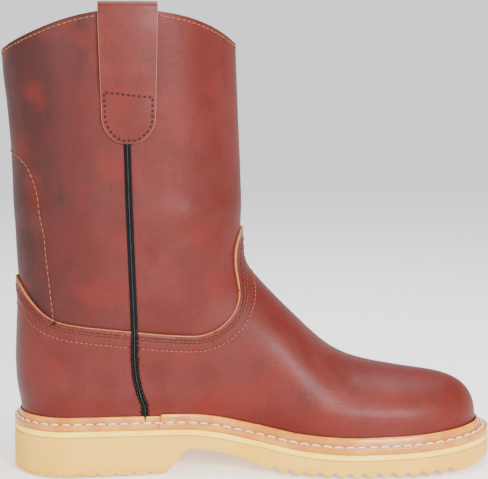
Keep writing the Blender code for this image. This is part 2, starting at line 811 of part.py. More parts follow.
def upper_rows():
    """Side-view places of the upper's rows, each from its front to its back.

    The rows start at the toe, swing round the instep about the fan's centre
    and end level in the shaft; the last ones follow the collar.  Round the
    instep they start evenly on the front line and end close together at the
    heel's round corner."""
    across = 12
    step = np.arange(across + 1) / across
    arch = 1 - np.cos(np.pi / 2 * step)
    ring = (1 - np.cos(np.pi * step)) / 2
    rows = []
    toe_reach = TIP_S - TIP_STEP - FAN_S
    for share in np.linspace(0, 1, 9)[:-1]:
        s = TIP_S - TIP_STEP - toe_reach * (1 - math.cos(math.pi / 2 * share))
        rows.append((np.full(across + 1, s), mix(top_height(s), feather(s), arch)))
    back = back_place(feather(0.0))
    heel_end = back + HEEL_WIDTH / 2
    stations = np.concatenate([np.linspace(FAN_S, heel_end, 11),
                               heel_end - (heel_end - back) * np.sin(np.pi / 2 * np.linspace(0, 1, 6)[1:])])
    under = polar(stations, feather(stations))[0]
    rim = np.concatenate([under, np.linspace(under[-1], 0, 9)[1:]])
    throat = np.linspace(np.pi / 2, 0, len(rim))
    for index in range(len(rim)):
        places = mix(arch, ring, min(index / (len(stations) - 1), 1))
        angle = mix(throat[index], rim[index], places)
        reach = mix(throat_reach(angle), rim_reach(angle), places)
        rows.append((FAN_S - reach * np.cos(angle), FAN_Z - reach * np.sin(angle)))
    for share in np.linspace(0, 1, 5)[1:]:
        front_z = mix(FAN_Z, collar_height(front_place(BOOT_HEIGHT)), share)
        back_z = mix(FAN_Z, collar_height(back_place(BOOT_HEIGHT)), share)
        s = mix(front_place(front_z), back_place(back_z), ring)
        z = mix(FAN_Z, collar_height(s), share)
        z[0], z[-1] = front_z, back_z
        rows.append((s, z))
    return np.array([row[0] for row in rows]), np.array([row[1] for row in rows])


def both_sides(s, z):
    """Grid over both sides of the boot, joined along the front line."""
    inner = upper_point(s, z, -1)
    outer = upper_point(s, z, 1)
    return np.concatenate([inner[:, ::-1], outer[:, 1:]], axis=1)


def upper_surface(name):
    """Outer face of the upper as an open surface of triangles, looking outwards."""
    s, z = upper_rows()
    mesh = grid_mesh(name, both_sides(s, z))
    close_toe(mesh)
    face_away(mesh, mean_point(mesh))
    return mesh


def build_upper(group):
    """The leather upper, one hollow wall open at the collar and underneath."""
    mesh = upper_surface("upper")
    upper = add_object("upper", mesh, material("upper_leather", LEATHER_LINING, 0.45), group)
    thicken(upper, UPPER_WALL, -1)
    return upper


def mean_point(mesh):
    """Mean of a mesh's points."""
    return sum((vertex.co for vertex in mesh.vertices), start=Vector()) / len(mesh.vertices)


def close_toe(mesh):
    """Close the small arch at the very tip, leaving the underside open."""
    work = bmesh.new()
    work.from_mesh(mesh)
    tip = max(vertex.co.x for vertex in work.verts)
    arch = [vertex for vertex in work.verts if vertex.co.x > tip - MERGE_DISTANCE]
    ridge = max(arch, key=lambda vertex: vertex.co.z)
    inner = sorted((v for v in arch if v is not ridge and v.co.y < ridge.co.y), key=lambda v: v.co.z)
    outer = sorted((v for v in arch if v is not ridge and v.co.y > ridge.co.y), key=lambda v: v.co.z)
    for index in range(len(inner) - 1):
        work.faces.new((inner[index], outer[index], outer[index + 1], inner[index + 1]))
    work.faces.new((inner[-1], outer[-1], ridge))
    bmesh.ops.recalc_face_normals(work, faces=work.faces)
    bmesh.ops.triangulate(work, faces=work.faces, quad_method="SHORT_EDGE")
    work.to_mesh(mesh)
    work.free()


def vamp_curve():
    """Upper edge of vamp and foxing in side view, from the back to the front."""
    height = column(VAMP_LINE, VAMP_COLUMNS, "instep") * INSTEP_HEIGHT
    place = column(VAMP_LINE, VAMP_COLUMNS, "place")
    return smooth_curve(mix(back_place(height), front_place(height), place), height, 4)


def seam_place(z):
    """Station of the side seam at a height."""
    length = column(SIDE_SEAM, SEAM_COLUMNS, "length") * SOLE_LENGTH
    height = column(SIDE_SEAM, SEAM_COLUMNS, "instep") * INSTEP_HEIGHT
    return smooth_value(height[::-1], length[::-1], z)


def overlay(name, outline, finish, group, cutters):
    """Leather laid over the upper inside an outline drawn in side view.

    The upper's own surface is lifted twice, once by the gap and once more by
    the leather, and the wall between is kept inside the outline."""
    mesh = upper_surface(name)
    lift(mesh, OVERLAY_GAP)
    piece = add_object(name, mesh, finish, group)
    thicken(piece, OVERLAY_THICKNESS, 1)
    region = extruded_cutter(name + "_region", outline, cutters)
    cutter = bpy.data.objects.new(name + "_cutter", join_meshes(name + "_cutter", [region]))
    cutter.hide_render = True
    cutter.display_type = "WIRE"
    cutters.objects.link(cutter)
    keep = piece.modifiers.new("outline", "BOOLEAN")
    keep.operation = "INTERSECT"
    keep.solver = "EXACT"
    keep.object = cutter
    return piece


def build_overlays(group, cutters):
    """Vamp ahead of the side seams and heel foxing behind them.

    Both stop short of the seam, where the piping lies between them."""
    edge = vamp_curve()
    ahead = edge[:, 0] - seam_place(edge[:, 1])
    clear = PIPING_WIDTH / 2 + SEAM_GAP
    crossing = float(np.interp(0, ahead[ahead < INSTEP_HEIGHT / 2], edge[ahead < INSTEP_HEIGHT / 2, 1]))
    seam_z = np.linspace(0, crossing, 24)
    seam = np.column_stack([seam_place(seam_z), seam_z])
    rear_edge = edge[ahead < -clear]
    front_edge = edge[ahead > clear]
    behind = -OUTLINE_SHARE * SOLE_LENGTH
    beyond = (1 + OUTLINE_SHARE) * SOLE_LENGTH
    rear = [(behind, 0), *(seam - [clear, 0]), *rear_edge[::-1], (behind, rear_edge[0, 1])]
    front = [*(seam[::-1] + [clear, 0]), (beyond, 0), (beyond, front_edge[-1, 1]), *front_edge[::-1]]
    overlay("vamp", front, material("vamp_leather", LEATHER, 0.42), group, cutters)
    overlay("heel_foxing", rear, material("foxing_leather", LEATHER, 0.42), group, cutters)


def surface_normal(s, z, side):
    """Unit normal of the upper's outer face, pointing out."""
    step = UPPER_WALL / 5
    along_s = upper_point(s + step, z, side) - upper_point(s - step, z, side)
    along_z = upper_point(s, z + step, side) - upper_point(s, z - step, side)
    normal = np.cross(along_s, along_z) * -side
    return normal / np.linalg.norm(normal, axis=-1)[..., None]


def build_piping(name, side, group):
    """Black piping that covers the side seam from the strap to the welt."""
    low = float(welt_ledge(SIDE_SEAM[-1][0] * SOLE_LENGTH)) + RIB_HEIGHT + 3 * JOINT_GAP
    high = BOOT_HEIGHT - STRAP_LENGTH - 2 * JOINT_GAP
    z = low + (high - low) * np.linspace(0, 1, 20) ** 1.3
    rings = []
    for share, proud in ((-0.5, 0.0), (-0.5, 0.45), (-0.18, 1.0), (0.18, 1.0), (0.5, 0.45), (0.5, 0.0)):
        s = seam_place(z) + share * PIPING_WIDTH
        out = OVERLAY_GAP + proud * PIPING_HEIGHT
        sideways = surface_normal(s, z, side)[:, 1] * side
        lifted = upper_point(s, z, side)
        lifted[:, 1] += side * out / sideways
        rings.append(lifted)
    return loft(name, np.stack(rings, axis=1), material(name + "_finish", PIPING_BLACK, 0.35), group)


def build_strap(name, side, group):
    """Pull strap: a leather band from outside the shaft over the collar.

    Its path climbs the outer face, turns over the collar in a low loop and
    runs down inside the shaft."""
    top = BOOT_HEIGHT
    low = top - STRAP_LENGTH
    outer_z = mix(low, top + JOINT_GAP, np.linspace(0, 1, 9) ** 1.3)
    turn = np.linspace(0, math.pi, 9)[1:-1]
    turn_z = top + JOINT_GAP + 0.6 * STRAP_LOOP * np.sin(turn)
    inner_z = np.linspace(top + JOINT_GAP, top - STRAP_INNER_LENGTH, 4)
    z = np.concatenate([outer_z, turn_z, inner_z])
    outside = OVERLAY_GAP
    inside = -UPPER_WALL - 2 * OVERLAY_GAP
    off = np.concatenate([np.full(len(outer_z), outside), mix(outside, inside, (1 - np.cos(turn)) / 2),
                          np.full(len(inner_z), inside)])
    width = STRAP_WIDTH - STRAP_TAPER * (1 - np.clip((z - low) / STRAP_LENGTH, 0, 1))
    end = rounding(z - low + STRAP_THICKNESS / 2, 0.45 * STRAP_WIDTH)
    half = width / 2 * np.where(np.arange(len(z)) < len(outer_z), end, 1)
    middle = seam_place(np.full(len(z), top)) + STRAP_SHIFT
    across = np.linspace(-1, 1, 6)
    s = middle[:, None] + half[:, None] * across[None, :]
    level = np.minimum(z, top)[:, None] + 0 * s
    centre, breadth = upper_centre_half(s, level)
    y = centre + side * (breadth + off[:, None])
    points = np.stack([s - HEEL_CENTRE, y, z[:, None] + 0 * s], axis=-1)
    mesh = grid_mesh(name, points)
    work = bmesh.new()
    work.from_mesh(mesh)
    bmesh.ops.recalc_face_normals(work, faces=work.faces)
    lowest = min(work.faces, key=lambda face: face.calc_center_median().z)
    if lowest.normal.y * side < 0:
        bmesh.ops.reverse_faces(work, faces=work.faces)
    work.to_mesh(mesh)
    work.free()
    strap = add_object(name, mesh, material(name + "_leather", STRAP_LEATHER, 0.5), group)
    thicken(strap, STRAP_THICKNESS, 1)
    return strap


def main():
    for old in list(bpy.data.objects):
        bpy.data.objects.remove(old)
    boot = collection("work_boot")
    cutters = collection("cutters")
    build_outsole(boot, cutters)
    build_midsole(boot)
    build_welts(boot)
    build_insole(boot)
    build_upper(boot)
    build_overlays(boot, cutters)
    build_piping("medial_piping", -1, boot)
    build_piping("lateral_piping", 1, boot)
    build_strap("medial_pull_strap", -1, boot)
    build_strap("lateral_pull_strap", 1, boot)


main()
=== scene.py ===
"""The looks of a left pull-on work boot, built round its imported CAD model.

The toe points to +X, +Z is up and the inner side of the foot is -Y.  Lengths
are in metres.  A place along the boot is a station, counted from the back end
of the sole, and the row frame's origin lies HEEL_CENTRE ahead of that end.
"""

import bmesh
import bpy
import numpy as np
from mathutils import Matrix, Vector


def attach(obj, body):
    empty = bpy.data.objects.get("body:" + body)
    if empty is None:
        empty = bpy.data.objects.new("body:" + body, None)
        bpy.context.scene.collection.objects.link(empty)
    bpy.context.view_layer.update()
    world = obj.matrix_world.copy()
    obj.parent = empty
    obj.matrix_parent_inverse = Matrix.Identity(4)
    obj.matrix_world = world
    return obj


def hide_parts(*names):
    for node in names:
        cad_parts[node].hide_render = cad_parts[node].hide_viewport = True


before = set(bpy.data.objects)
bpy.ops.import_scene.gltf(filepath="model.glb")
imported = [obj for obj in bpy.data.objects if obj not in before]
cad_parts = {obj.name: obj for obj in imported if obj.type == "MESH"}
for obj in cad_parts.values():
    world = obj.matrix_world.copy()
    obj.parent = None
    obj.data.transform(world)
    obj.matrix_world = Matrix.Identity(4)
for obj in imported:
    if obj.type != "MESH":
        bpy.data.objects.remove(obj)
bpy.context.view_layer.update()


# Insole: a board of firm tan fibre cut to the bottom of the last, on which the
# boot is made.  It lies on the midsole inside the upper and shows from above.
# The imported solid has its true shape, so it stays and gets its finish here.

INSOLE_TAN = (0.42, 0.25, 0.13, 1)
INSOLE_WORN = (0.30, 0.17, 0.09, 1)


class Wire:
    """An output of a material's node; arithmetic on it adds Math nodes."""

    def __init__(self, tree, socket=None):
        self.tree = tree
        self.socket = socket

    def node(self, kind, settings, values, output=0):
        """Add a shader node: first its settings, then the values or links of its sockets."""
        new = self.tree.nodes.new("ShaderNode" + kind)
        for name, value in settings.items():
            setattr(new, name, value)
        for name, value in values.items():
            if isinstance(value, Wire):
                self.tree.links.new(value.socket, new.inputs[name])
            else:
                new.inputs[name].default_value = value
        return Wire(self.tree, new.outputs[output])

    def math(self, operation, first, second=0.0):
        return self.node("Math", {"operation": operation}, {0: first, 1: second})

    def __add__(self, other):
        return self.math("ADD", self, other)

    __radd__ = __add__

    def __sub__(self, other):
        return self.math("SUBTRACT", self, other)

    def __rsub__(self, other):
        return self.math("SUBTRACT", other, self)

    def __mul__(self, other):
        return self.math("MULTIPLY", self, other)

    __rmul__ = __mul__

    def __truediv__(self, other):
        return self.math("DIVIDE", self, other)

    def __pow__(self, other):
        return self.math("POWER", self, other)

    def least(self, other):
        return self.math("MINIMUM", self, other)

    def size(self):
        return self.math("ABSOLUTE", self)

    def rise(self, low, high):
        """Smooth step from 0 where the value is low to 1 where it is high."""
        return self.node("MapRange", {"interpolation_type": "SMOOTHSTEP"},
                         {"Value": self, "From Min": low, "From Max": high})

    def between(self, low, high):
        """Colour mixed from low to high by this value."""
        return self.node("Mix", {"data_type": "RGBA"}, {0: self, 6: low, 7: high}, 2)

    def noise(self, spacing, detail=2.0, roughness=0.5):
        """Cloudy pattern from 0 to 1 on these coordinates, spacing metres apart."""
        return self.node("TexNoise", {},
                         {"Vector": self, "Scale": 1 / spacing, "Detail": detail, "Roughness": roughness})

    def cells(self, spacing, feature="F1"):
        """Distance inside the cells of a foam or a grain, spacing metres apart."""
        return self.node("TexVoronoi", {"feature": feature}, {"Vector": self, "Scale": 1 / spacing})

    def stretched(self, scale, shift=(0, 0, 0)):
        """These coordinates scaled and moved."""
        return self.node("Mapping", {}, {"Vector": self, "Scale": scale, "Location": shift})

    def parts(self):
        """The three parts of these coordinates."""
        return [self.node("SeparateXYZ", {}, {0: self}, output) for output in range(3)]

    def attribute(self, name):
        """A value that a mesh carries at its points."""
        return self.node("Attribute", {"attribute_name": name}, {}, 2)


def new_finish(name, fixed):
    """A material, its shader and its Object coordinates; fixed holds the shader's constants."""
    material = bpy.data.materials.new(name)
    material.use_nodes = True
    tree = material.node_tree
    shader = tree.nodes["Principled BSDF"]
    for socket, value in fixed.items():
        shader.inputs[socket].default_value = value
    place = Wire(tree).node("TexCoord", {}, {}, 3)
    return material, shader, place


def paint(shader, colour=None, roughness=None, height=None, coat=None):
    """Link what changes over the surface; height is in millimetres."""
    for name, wire in (("Base Color", colour), ("Roughness", roughness), ("Coat Weight", coat)):
        if wire is not None:
            wire.tree.links.new(wire.socket, shader.inputs[name])
    if height is not None:
        normal = height.node("Bump", {}, {"Strength": 1.0, "Distance": 0.001, "Height": height})
        height.tree.links.new(normal.socket, shader.inputs["Normal"])


insole_board, shader, place = new_finish("insole_board", {})
fibres = place.stretched((1, 2.5, 1)).noise(0.0018, 4, 0.7)
worn = place.noise(0.05, 3)
paint(shader, colour=(worn.rise(0.35, 0.7) * 0.7 + fibres * 0.3).between(INSOLE_TAN, INSOLE_WORN),
      roughness=fibres * 0.15 + 0.7, height=fibres * 0.12)
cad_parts["insole"].material_slots[0].material = insole_board


# Shaft and lining: one hide closed up the sides, the shaft standing round the
# leg and running on under the vamp and foxing down to the welt.  It is oily
# full-grain cowhide in a worn reddish brown, with its raw flesh side inside.

SOLE_LENGTH = 0.305
BALL_WIDTH = 0.110
HEEL_WIDTH = 0.075
BOOT_HEIGHT = 0.286
INSTEP_HEIGHT = 0.134
SHAFT_DEPTH = 0.143
SHAFT_WIDTH = 0.098
ANKLE_WIDTH = 0.085
COLLAR_DIP = 0.023
HEEL_HEIGHT = 0.0255
FOREFOOT_HEIGHT = 0.0113
TOE_SPRING = 0.005
MIDSOLE_THICKNESS = 0.0037
WELT_THICKNESS = 0.0036
RIB_HEIGHT = 0.0052
WELT_MARGIN = 0.0105
REAR_WELT_MARGIN = 0.0068
TOE_MARGIN = 0.0106
TOE_ROUNDING = 0.060
UPPER_WALL = 0.0022
FEATHER_BULGE = 0.0026
SHAFT_SHIFT = 0.0020
JOINT_GAP = 0.0003
HEEL_CENTRE = 0.125 * SOLE_LENGTH

# Columns: station, heel and ball shares of the half widths, middle line
PLAN = np.array((
    (0, 1, 0, 0), (0.12, 1, 0, 0), (0.25, 0.97, 0, 0.018), (0.38, 0.6, 0.24, 0.052), (0.5, 0.25, 0.61, 0.07),
    (0.6, 0, 0.935, 0.06), (0.68, 0, 0.99, 0.04), (0.78, 0, 0.93, 0.007), (0.86, 0, 0.85, -0.025),
    (0.93, 0, 0.81, -0.045), (1, 0, 0.79, -0.055)))

# Columns: station, share of the heel's step, of the top's and ground's spring
SOLE_SIDE = np.array((
    (0, 1, 0, 0), (0.15, 0.99, 0, 0), (0.3, 0.93, 0, 0), (0.4, 0.82, 0, 0), (0.5, 0.44, 0, 0), (0.58, 0.14, 0, 0),
    (0.66, 0.01, 0, 0), (0.75, 0, 0.03, 0), (0.85, 0, 0.25, 0.08), (0.93, 0, 0.6, 0.42), (1, 0, 0.95, 1)))

# Columns: shares of the sole's length, shaft's depth, instep's and boot's height
FRONT_LINE = np.array((
    (0.9652, 0, 0.14, 0), (0.9648, 0, 0.235, 0), (0.9564, 0, 0.312, 0), (0.9341, 0, 0.372, 0), (0.8908, 0, 0.41, 0),
    (0.8144, 0, 0.433, 0), (0.7357, 0, 0.464, 0), (0.6833, 0, 0.507, 0), (0.6393, 0, 0.574, 0),
    (0.5751, 0, 0.713, 0), (0.5115, 0, 0.864, 0), (0.4816, 0, 0.959, 0), (0.237, 0.507, 0.6, 0.22),
    (0, 1.018, 0, 0.58), (0, 1.012, 0, 0.68), (0, 1.003, 0, 0.8), (0, 0.994, 0, 0.92), (0, 0.985, 0, 1.06)))
BACK_LINE = np.array((
    (0.0225, 0, 0.14, 0), (0.0222, 0, 0.28, 0), (0.0183, 0, 0.35, 0), (0.0137, 0, 0.42, 0), (0.012, 0, 0.53, 0),
    (0.015, 0, 0.69, 0), (0.017, 0, 0.79, 0), (0.0135, 0, 0.92, 0), (0.01, 0, 0.5, 0.27), (0.0062, 0, 0, 0.6),
    (0.0043, 0, 0, 0.7), (-0.002, 0, 0, 0.8), (-0.01, 0, 0, 0.895), (-0.0106, 0, 0, 1.06)))

# Columns: share of the way from back to front, share of the collar's dip
COLLAR = np.array((
    (0, 1), (0.06, 0.8), (0.15, 0.55), (0.27, 0.27), (0.42, 0.05), (0.55, 0), (0.68, 0.05), (0.84, 0.27),
    (0.94, 0.56), (1, 0.82)))

FAN_S = 0.705 * SOLE_LENGTH
FAN_Z = 0.700 * BOOT_HEIGHT
FOOT_END = 0.30
SHAFT_START = 1.15
HEEL_ROUNDING = 0.44
SHAFT_BACK_ROUNDING = 0.43
SHAFT_FRONT_ROUNDING = 0.46
SECTION_FULLNESS = 2.15
TIP_STEP = 0.0002
MARGIN_START = 0.30
MARGIN_RUN = 0.25


def smooth_value(places, values, at):
    """Cubic Hermite curve through a table's rows, with the rows' mean slopes."""
    at = np.clip(at, places[0], places[-1])
    slopes = np.gradient(values, places)
    low = np.clip(np.searchsorted(places, at, side="right") - 1, 0, len(places) - 2)
    step = places[low + 1] - places[low]
    t = (at - places[low]) / step
    start = (1 + 2 * t) * (1 - t) ** 2 * values[low] + t * (1 - t) ** 2 * step * slopes[low]
    end = t * t * (3 - 2 * t) * values[low + 1] + t * t * (t - 1) * step * slopes[low + 1]
    return start + end


def smooth_curve(points, samples=24):
    """Catmull-Rom curve through points, with many samples on each span."""
    ends = np.vstack([2 * points[0] - points[1], points, 2 * points[-1] - points[-2]])
    t = np.linspace(0, 1, samples, endpoint=False)[:, None]
    spans = [0.5 * (2 * b + (c - a) * t + (2 * a - 5 * b + 4 * c - d) * t ** 2 + (3 * b - a - 3 * c + d) * t ** 3)
             for a, b, c, d in zip(ends, ends[1:], ends[2:], ends[3:])]
    return np.vstack([*spans, points[-1:]])


def ease(value):
    """Smooth step from 0 to 1."""
    value = np.clip(value, 0, 1)
    return value * value * (3 - 2 * value)


def rounding(distance, radius, fullness=2.0):
    """Share of the full width at a distance from the edge of a round side."""
    t = np.clip(distance / radius, 0, 1)
    return (1 - (1 - t) ** fullness) ** (1 / fullness)


def mix(low, high, share):
    """Value a share of the way from low to high."""
    return low + (high - low) * share


def unit(vectors):
    """The same directions at length 1."""
    return vectors / np.linalg.norm(vectors, axis=-1)[..., None]


def plan_half(s):
    """Half width of the sole before its ends are rounded."""
    return smooth_value(PLAN[:, 0] * SOLE_LENGTH, (PLAN[:, 1] * HEEL_WIDTH + PLAN[:, 2] * BALL_WIDTH) / 2, s)


def plan_centre(s):
    """Place of the sole's middle line."""
    return smooth_value(PLAN[:, 0] * SOLE_LENGTH, PLAN[:, 3] * BALL_WIDTH, s)


def outsole_top(s):
    """Height of the outsole's upper face."""
    places = SOLE_SIDE[:, 0] * SOLE_LENGTH
    step = (HEEL_HEIGHT - FOREFOOT_HEIGHT) * smooth_value(places, SOLE_SIDE[:, 1], s)
    return FOREFOOT_HEIGHT + step + TOE_SPRING * smooth_value(places, SOLE_SIDE[:, 2], s)


def feather(s):
    """Height of the upper's lower edge, on the midsole."""
    return outsole_top(s) + MIDSOLE_THICKNESS + 2 * JOINT_GAP


def side_line(table):
    """Curve in side view through a table of shares of the boot's sizes."""
    along = table[:, 0] * SOLE_LENGTH + table[:, 1] * SHAFT_DEPTH
    return smooth_curve(np.column_stack([along, table[:, 2] * INSTEP_HEIGHT + table[:, 3] * BOOT_HEIGHT]))


FRONT = side_line(FRONT_LINE)
BACK = side_line(BACK_LINE)
TIP_S = FRONT[:, 0].max()


def back_place(z):
    """Station of the upper's back line at a height."""
    return np.interp(z, BACK[:, 1], BACK[:, 0])


def front_place(z):
    """Station of the upper's front line at a height."""
    return np.interp(z, FRONT[:, 1], FRONT[:, 0])


def top_height(s):
    """Height of the vamp's top line ahead of the fan's centre."""
    rising = FRONT[::-1]
    keep = np.maximum.accumulate(rising[:, 0]) == rising[:, 0]
    return np.interp(s, rising[keep, 0], rising[keep, 1])


def polar(s, z):
    """Angle under the horizontal and distance, seen from the fan's centre."""
    return np.arctan2(FAN_Z - z, FAN_S - s), np.hypot(FAN_Z - z, FAN_S - s)


def throat_reach(angle):
    """Distance from the fan's centre to the front line at an angle."""
    angles, reaches = polar(FRONT[::-1, 0], FRONT[::-1, 1])
    keep = np.maximum.accumulate(angles) == angles
    return np.interp(angle, angles[keep], reaches[keep])


def rim_reach(angle):
    """Distance from the fan's centre to the feather or the back line."""
    s = np.linspace(FAN_S, back_place(feather(0.0)), 400)
    z = np.linspace(feather(s[-1]), FAN_Z, 400)
    angles, reaches = polar(np.concatenate([s, back_place(z)]), np.concatenate([feather(s), z]))
    order = np.argsort(angles)
    return np.interp(angle, angles[order], reaches[order])


def front_rounding(s, z):
    """Share of the full width that the round front or top leaves."""
    angle, reach = polar(s, z)
    height = top_height(s) - feather(s)
    over_foot = rounding(top_height(s) - z, np.maximum(height, 1e-5), SECTION_FULLNESS)
    over_shaft = rounding(front_place(z) - s, SHAFT_FRONT_ROUNDING * SHAFT_DEPTH)
    turn = ease(1 - np.clip(angle, 0, np.pi / 2) / (np.pi / 2))
    fan_height = top_height(FAN_S) - feather(FAN_S)
    radius = mix(fan_height, SHAFT_FRONT_ROUNDING * SHAFT_DEPTH, turn)
    fullness = mix(SECTION_FULLNESS, 2.0, turn)
    over_fan = rounding(reach - throat_reach(angle), radius, fullness)
    return np.where(s >= FAN_S, over_foot, np.where(z >= FAN_Z, over_shaft, over_fan))


def centre_half(s, z):
    """Middle line and half width of the upper's outer face in side view.

    The half width is the foot's near the sole and the shaft's above the
    ankle, times the rounding of the front or top line and of the back line."""
    climb = ease((z / INSTEP_HEIGHT - FOOT_END) / (SHAFT_START - FOOT_END))
    toward_ball = ease((s / SOLE_LENGTH - MARGIN_START) / MARGIN_RUN)
    margin = mix(REAR_WELT_MARGIN, WELT_MARGIN, toward_ball)
    toe_end = rounding(TIP_S - s, TOE_ROUNDING - TOE_MARGIN)
    bulge = FEATHER_BULGE * ease((z - feather(s) - WELT_THICKNESS - RIB_HEIGHT) / (3 * RIB_HEIGHT))
    foot = (plan_half(s) - margin + bulge) * toe_end
    rise = np.clip((z - INSTEP_HEIGHT) / (BOOT_HEIGHT - INSTEP_HEIGHT), 0, 1)
    shaft = mix(ANKLE_WIDTH, SHAFT_WIDTH, rise) / 2
    radius = mix(HEEL_ROUNDING * HEEL_WIDTH, SHAFT_BACK_ROUNDING * SHAFT_DEPTH, climb)
    behind = rounding(s - back_place(z), radius)
    half = mix(foot, shaft, climb) * front_rounding(s, z) * behind
    return mix(plan_centre(s), SHAFT_SHIFT, climb), half


def collar_height(s):
    """Height of the collar's edge at a station."""
    back = back_place(BOOT_HEIGHT)
    place = (s - back) / (front_place(BOOT_HEIGHT) - back)
    return BOOT_HEIGHT - COLLAR_DIP * smooth_value(COLLAR[:, 0], COLLAR[:, 1], place)


FOLD_STRENGTH = 1.4

# Folds placed on the leather.  Columns: start, bend and end of a fold
# (shares of the sole's length and of the boot's height), half width and height
# in millimetres, and how much stronger it is on the outer side
FOLDS = np.array((
    (0.47, 0.56, 0.4, 0.52, 0.33, 0.535, 7, -0.9, 0.2), (0.465, 0.63, 0.39, 0.6, 0.3, 0.63, 8, -0.6, -0.2),
    (0.46, 0.595, 0.4, 0.56, 0.33, 0.58, 5, 0.5, 0), (0.02, 0.545, 0.09, 0.5, 0.18, 0.53, 8, -0.8, 0.3),
    (0.015, 0.64, 0.1, 0.6, 0.2, 0.64, 9, -0.5, -0.3), (0.02, 0.59, 0.08, 0.56, 0.15, 0.585, 6, 0.5, 0),
    (0.36, 0.98, 0.38, 0.74, 0.35, 0.48, 11, 0.9, 0.2), (0.15, 0.96, 0.11, 0.74, 0.15, 0.48, 12, 0.8, -0.3),
    (0.44, 0.96, 0.45, 0.76, 0.44, 0.62, 7, -0.5, 0), (0.19, 0.78, 0.215, 0.64, 0.2, 0.52, 6, -0.5, 0),
    (0.55, 0.29, 0.5, 0.23, 0.44, 0.225, 8, -0.5, 0.2), (0.61, 0.235, 0.56, 0.18, 0.52, 0.15, 9, -0.4, 0.4),
    (0.69, 0.205, 0.66, 0.15, 0.64, 0.11, 7, -0.3, 0.2), (0.73, 0.2, 0.71, 0.15, 0.7, 0.11, 7, 0.25, 0),
    (0.1, 0.3, 0.17, 0.23, 0.24, 0.2, 10, -0.3, 0)))


def fold_relief(s, z, turn):
    """Height of the listed folds; turn runs from -1 inside to 1 outside.

    A fold is a bell-shaped ridge or trough along a bent path, and it fades
    out at both ends."""
    height = np.zeros(np.shape(s))
    t = np.linspace(0, 1, 33)
    for s0, z0, s1, z1, s2, z2, width, depth, lean in FOLDS:
        path_s = ((1 - t) ** 2 * s0 + 2 * t * (1 - t) * s1 + t ** 2 * s2) * SOLE_LENGTH
        path_z = ((1 - t) ** 2 * z0 + 2 * t * (1 - t) * z1 + t ** 2 * z2) * BOOT_HEIGHT
        gaps = np.hypot(s[..., None] - path_s, z[..., None] - path_z) / (width / 1000)
        weights = np.exp(-2 * gaps ** 2) + 1e-12
        fade = np.sum(weights * np.sin(np.pi * t) ** 0.7, axis=-1) / np.sum(weights, axis=-1)
        height += FOLD_STRENGTH * depth / 1000 * fade * np.exp(-gaps.min(axis=-1) ** 2) * (1 + lean * turn)
    return height


def grid_normals(points):
    """Unit normals of a grid of points, pointing away from its middle.

    Where a row's two ends are one point, as on the back seam, they share
    their normal."""
    normals = np.cross(np.gradient(points, axis=1), np.gradient(points, axis=0))
    normals /= np.maximum(np.linalg.norm(normals, axis=-1), 1e-12)[..., None]
    normals *= np.sign(np.sum(normals * (points - points.mean(axis=(0, 1)))))
    closed = np.linalg.norm(points[:, 0] - points[:, -1], axis=-1) < 1e-6
    normals[closed, 0] = unit(normals[closed, 0] + normals[closed, -1])
    normals[closed, -1] = normals[closed, 0]
    return normals


def sideways(half):
    """How far a place looks to the side: 0 on the front or back line, 1 on a full side."""
    return np.clip(2 * half / ANKLE_WIDTH, 0, 1)


def both_sides(s, z):
    """Grid over both sides of the boot, joined along its first column.

    It gives the points, their normals, and for each its station, height and
    turn from -1 on the inner side to 1 on the outer."""
    centre, half = centre_half(s, z)
    inner = np.stack([s - HEEL_CENTRE, centre - half, z], axis=-1)
    outer = np.stack([s - HEEL_CENTRE, centre + half, z], axis=-1)
    points = np.concatenate([inner[:, ::-1], outer[:, 1:]], axis=1)
    places = [np.concatenate([sign * part[:, ::-1], part[:, 1:]], axis=1)
              for sign, part in ((1, s), (1, z), (-1, sideways(half)))]
    normals = grid_normals(points)
    return points + normals * fold_relief(*places)[..., None], normals, places


def upper_rows(toe_steps, under_steps, heel_steps, back_steps, shaft_steps, across):
    """Side-view places of rows over the upper, each from its front to its back.

    The rows start at the toe, swing round the instep about the fan's centre
    and end level in the shaft, where the last ones follow the collar."""
    step = np.arange(across + 1) / across
    arch = 1 - np.cos(np.pi / 2 * step)
    ring = (1 - np.cos(np.pi * step)) / 2
    tip = TIP_S - TIP_STEP
    s = (tip - (tip - FAN_S) * (1 - np.cos(np.pi / 2 * np.linspace(0, 1, toe_steps + 1)[:-1])))[:, None]
    toe = np.stack([s + 0 * arch, mix(top_height(s), feather(s), arch)])
    back = back_place(feather(0.0))
    heel_end = back + HEEL_WIDTH / 2
    bend = np.sin(np.pi / 2 * np.linspace(0, 1, heel_steps + 1)[1:])
    stations = np.concatenate([np.linspace(FAN_S, heel_end, under_steps), heel_end - (heel_end - back) * bend])
    under = polar(stations, feather(stations))[0]
    rim = np.concatenate([under, np.linspace(under[-1], 0, back_steps + 1)[1:]])[:, None]
    throat = np.linspace(np.pi / 2, 0, len(rim))[:, None]
    places = mix(arch, ring, np.clip(np.arange(len(rim)) / (len(stations) - 1), 0, 1)[:, None])
    angle = mix(throat, rim, places)
    reach = mix(throat_reach(angle), rim_reach(angle), places)
    fan = np.stack([FAN_S - reach * np.cos(angle), FAN_Z - reach * np.sin(angle)])
    fan[0, len(stations):, -1] = back_place(fan[1, len(stations):, -1])
    share = np.linspace(0, 1, shaft_steps + 1)[1:, None]
    front_z = mix(FAN_Z, collar_height(front_place(BOOT_HEIGHT)), share)
    back_z = mix(FAN_Z, collar_height(back_place(BOOT_HEIGHT)), share)
    s = mix(front_place(front_z), back_place(back_z), ring)
    z = mix(FAN_Z, collar_height(s), share)
    z[:, :1] = front_z
    z[:, -1:] = back_z
    return np.concatenate([toe, fan, np.stack([s, z])], axis=1)


